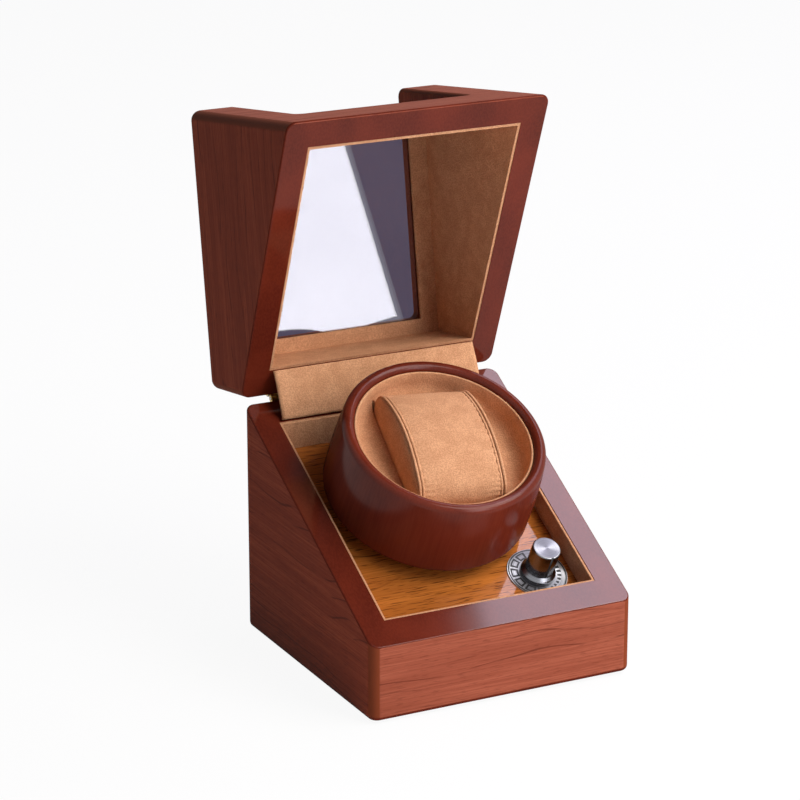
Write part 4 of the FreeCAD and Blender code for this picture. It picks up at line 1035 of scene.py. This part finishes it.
# %% [markdown]
# Three softboxes light the box. The key stands to the front right and models the forms. The overhead
# one mirrors in the right half of the rims and in the deck. The front one mirrors in the window. Its
# right edge leans, and so does the edge of the reflection, so it is placed by that edge.

# %% Lamps
FRONT_SIZE = (0.3, 0.36)
FRONT_POWER = 2.2
FRONT_EDGE_FOOT = Vector((0.4447, -0.7576, 0.112))
FRONT_EDGE_RUN = Vector((-0.208, 0.065, 0.976))
FRONT_FROM_WINDOW = Vector((0.43, -0.90, 0.0))
OVERHEAD_PLACE = Vector((0.975, 0.25, 1.25))
OVERHEAD_SIZE = (0.75, 1.5)
OVERHEAD_POWER = 15.0
KEY_PLACE = Vector((0.6, -0.72, 0.95))
KEY_SIZE = (0.9, 0.9)
KEY_POWER = 17.5


def softbox(name, matrix, size, power, colour):
    """Rectangular lamp that shines along its own -Z."""
    lamp = bpy.data.lights.new(name, "AREA")
    lamp.shape = "RECTANGLE"
    lamp.size, lamp.size_y = size
    lamp.energy = power
    lamp.color = linear(colour)[:3]
    made = bpy.data.objects.new(name, lamp)
    made.matrix_world = matrix
    bpy.context.scene.collection.objects.link(made)


edge_up = FRONT_EDGE_RUN.normalized()
box_back = FRONT_FROM_WINDOW.normalized()
box_side = edge_up.cross(box_back).normalized()
front_middle = FRONT_EDGE_FOOT + edge_up * FRONT_SIZE[1] / 2 - box_side * FRONT_SIZE[0] / 2
front_axes = Matrix((box_side, box_back.cross(box_side), box_back)).transposed().to_4x4()
front_matrix = Matrix.Translation(front_middle) @ front_axes
key_axes = KEY_PLACE.to_track_quat("Z", "Y").to_matrix().to_4x4()
key_matrix = Matrix.Translation(KEY_PLACE) @ key_axes
softbox("front_softbox", front_matrix, FRONT_SIZE, FRONT_POWER, "#f8f8ff")
softbox("overhead_softbox", Matrix.Translation(OVERHEAD_PLACE), OVERHEAD_SIZE, OVERHEAD_POWER, "#eee8ff")
softbox("key_softbox", key_matrix, KEY_SIZE, KEY_POWER, "#fffaf5")
print("lamps", FRONT_POWER + OVERHEAD_POWER + KEY_POWER, "W")

# %% [markdown]
# Photographers put cards round a glossy thing to choose what it mirrors. A black card above the left
# rim, out of the picture, keeps the studio's white out of that rim's polish. A glowing slate card stands
# behind the open lid as painted shade: only rays through its window see it, so the window shows a dim
# slate grey instead of the white backdrop, as the photograph has it.

# %% Cards
BLACK_CARD_HEIGHT = 1.3
BLACK_CARD_OUTLINE = rectangle((-0.2, -0.2), (0.6, 1.0))
PAINTED_SHADE_CARD_BACK = 0.32
PAINTED_SHADE_CARD_OUTLINE = rectangle((-0.8, 0.0), (1.0, 1.0))
black_card = stage_panel("black_card", [(x, y, BLACK_CARD_HEIGHT) for x, y in BLACK_CARD_OUTLINE], felt)
black_card.visible_camera = False

# This card glows slate grey and only rays through the window see it: painted shade in the window, not a
# lamp.
painted_shade_material, painted_shade_tree = begin("card_painted_shade")
painted_shade_glow = add(painted_shade_tree, "Emission", {"Color": linear("#5b5668"), "Strength": 1.0})
add(painted_shade_tree, "OutputMaterial", {"Surface": painted_shade_glow})
painted_shade_card = stage_panel("painted_shade_card", [(x, PAINTED_SHADE_CARD_BACK, z) for x, z in PAINTED_SHADE_CARD_OUTLINE], painted_shade_material)
painted_shade_card.visible_camera = False
painted_shade_card.visible_diffuse = False
painted_shade_card.visible_glossy = False
painted_shade_card.visible_shadow = False
print("cards", black_card.name, painted_shade_card.name)

# %% [markdown]
# The camera's place and lens were worked out from the straight edges of the box in the photograph. It
# stands to the left of the front and looks a little down.

# %% Camera
CAMERA_PLACE = Vector((-0.6189, -1.17244, 0.54386))
CAMERA_AZIMUTH = math.radians(27.142)
CAMERA_ELEVATION = math.radians(17.815)
CAMERA_LENS = 142.63
CAMERA_SENSOR = 36.0
camera_data = bpy.data.cameras.new("camera")
camera_data.lens = CAMERA_LENS
camera_data.sensor_width = CAMERA_SENSOR
camera = bpy.data.objects.new("camera", camera_data)
camera.location = CAMERA_PLACE
camera.rotation_euler = (math.pi / 2 - CAMERA_ELEVATION, 0.0, -CAMERA_AZIMUTH)
bpy.context.scene.collection.objects.link(camera)
bpy.context.scene.camera = camera
print("camera", [round(v, 3) for v in camera.location])
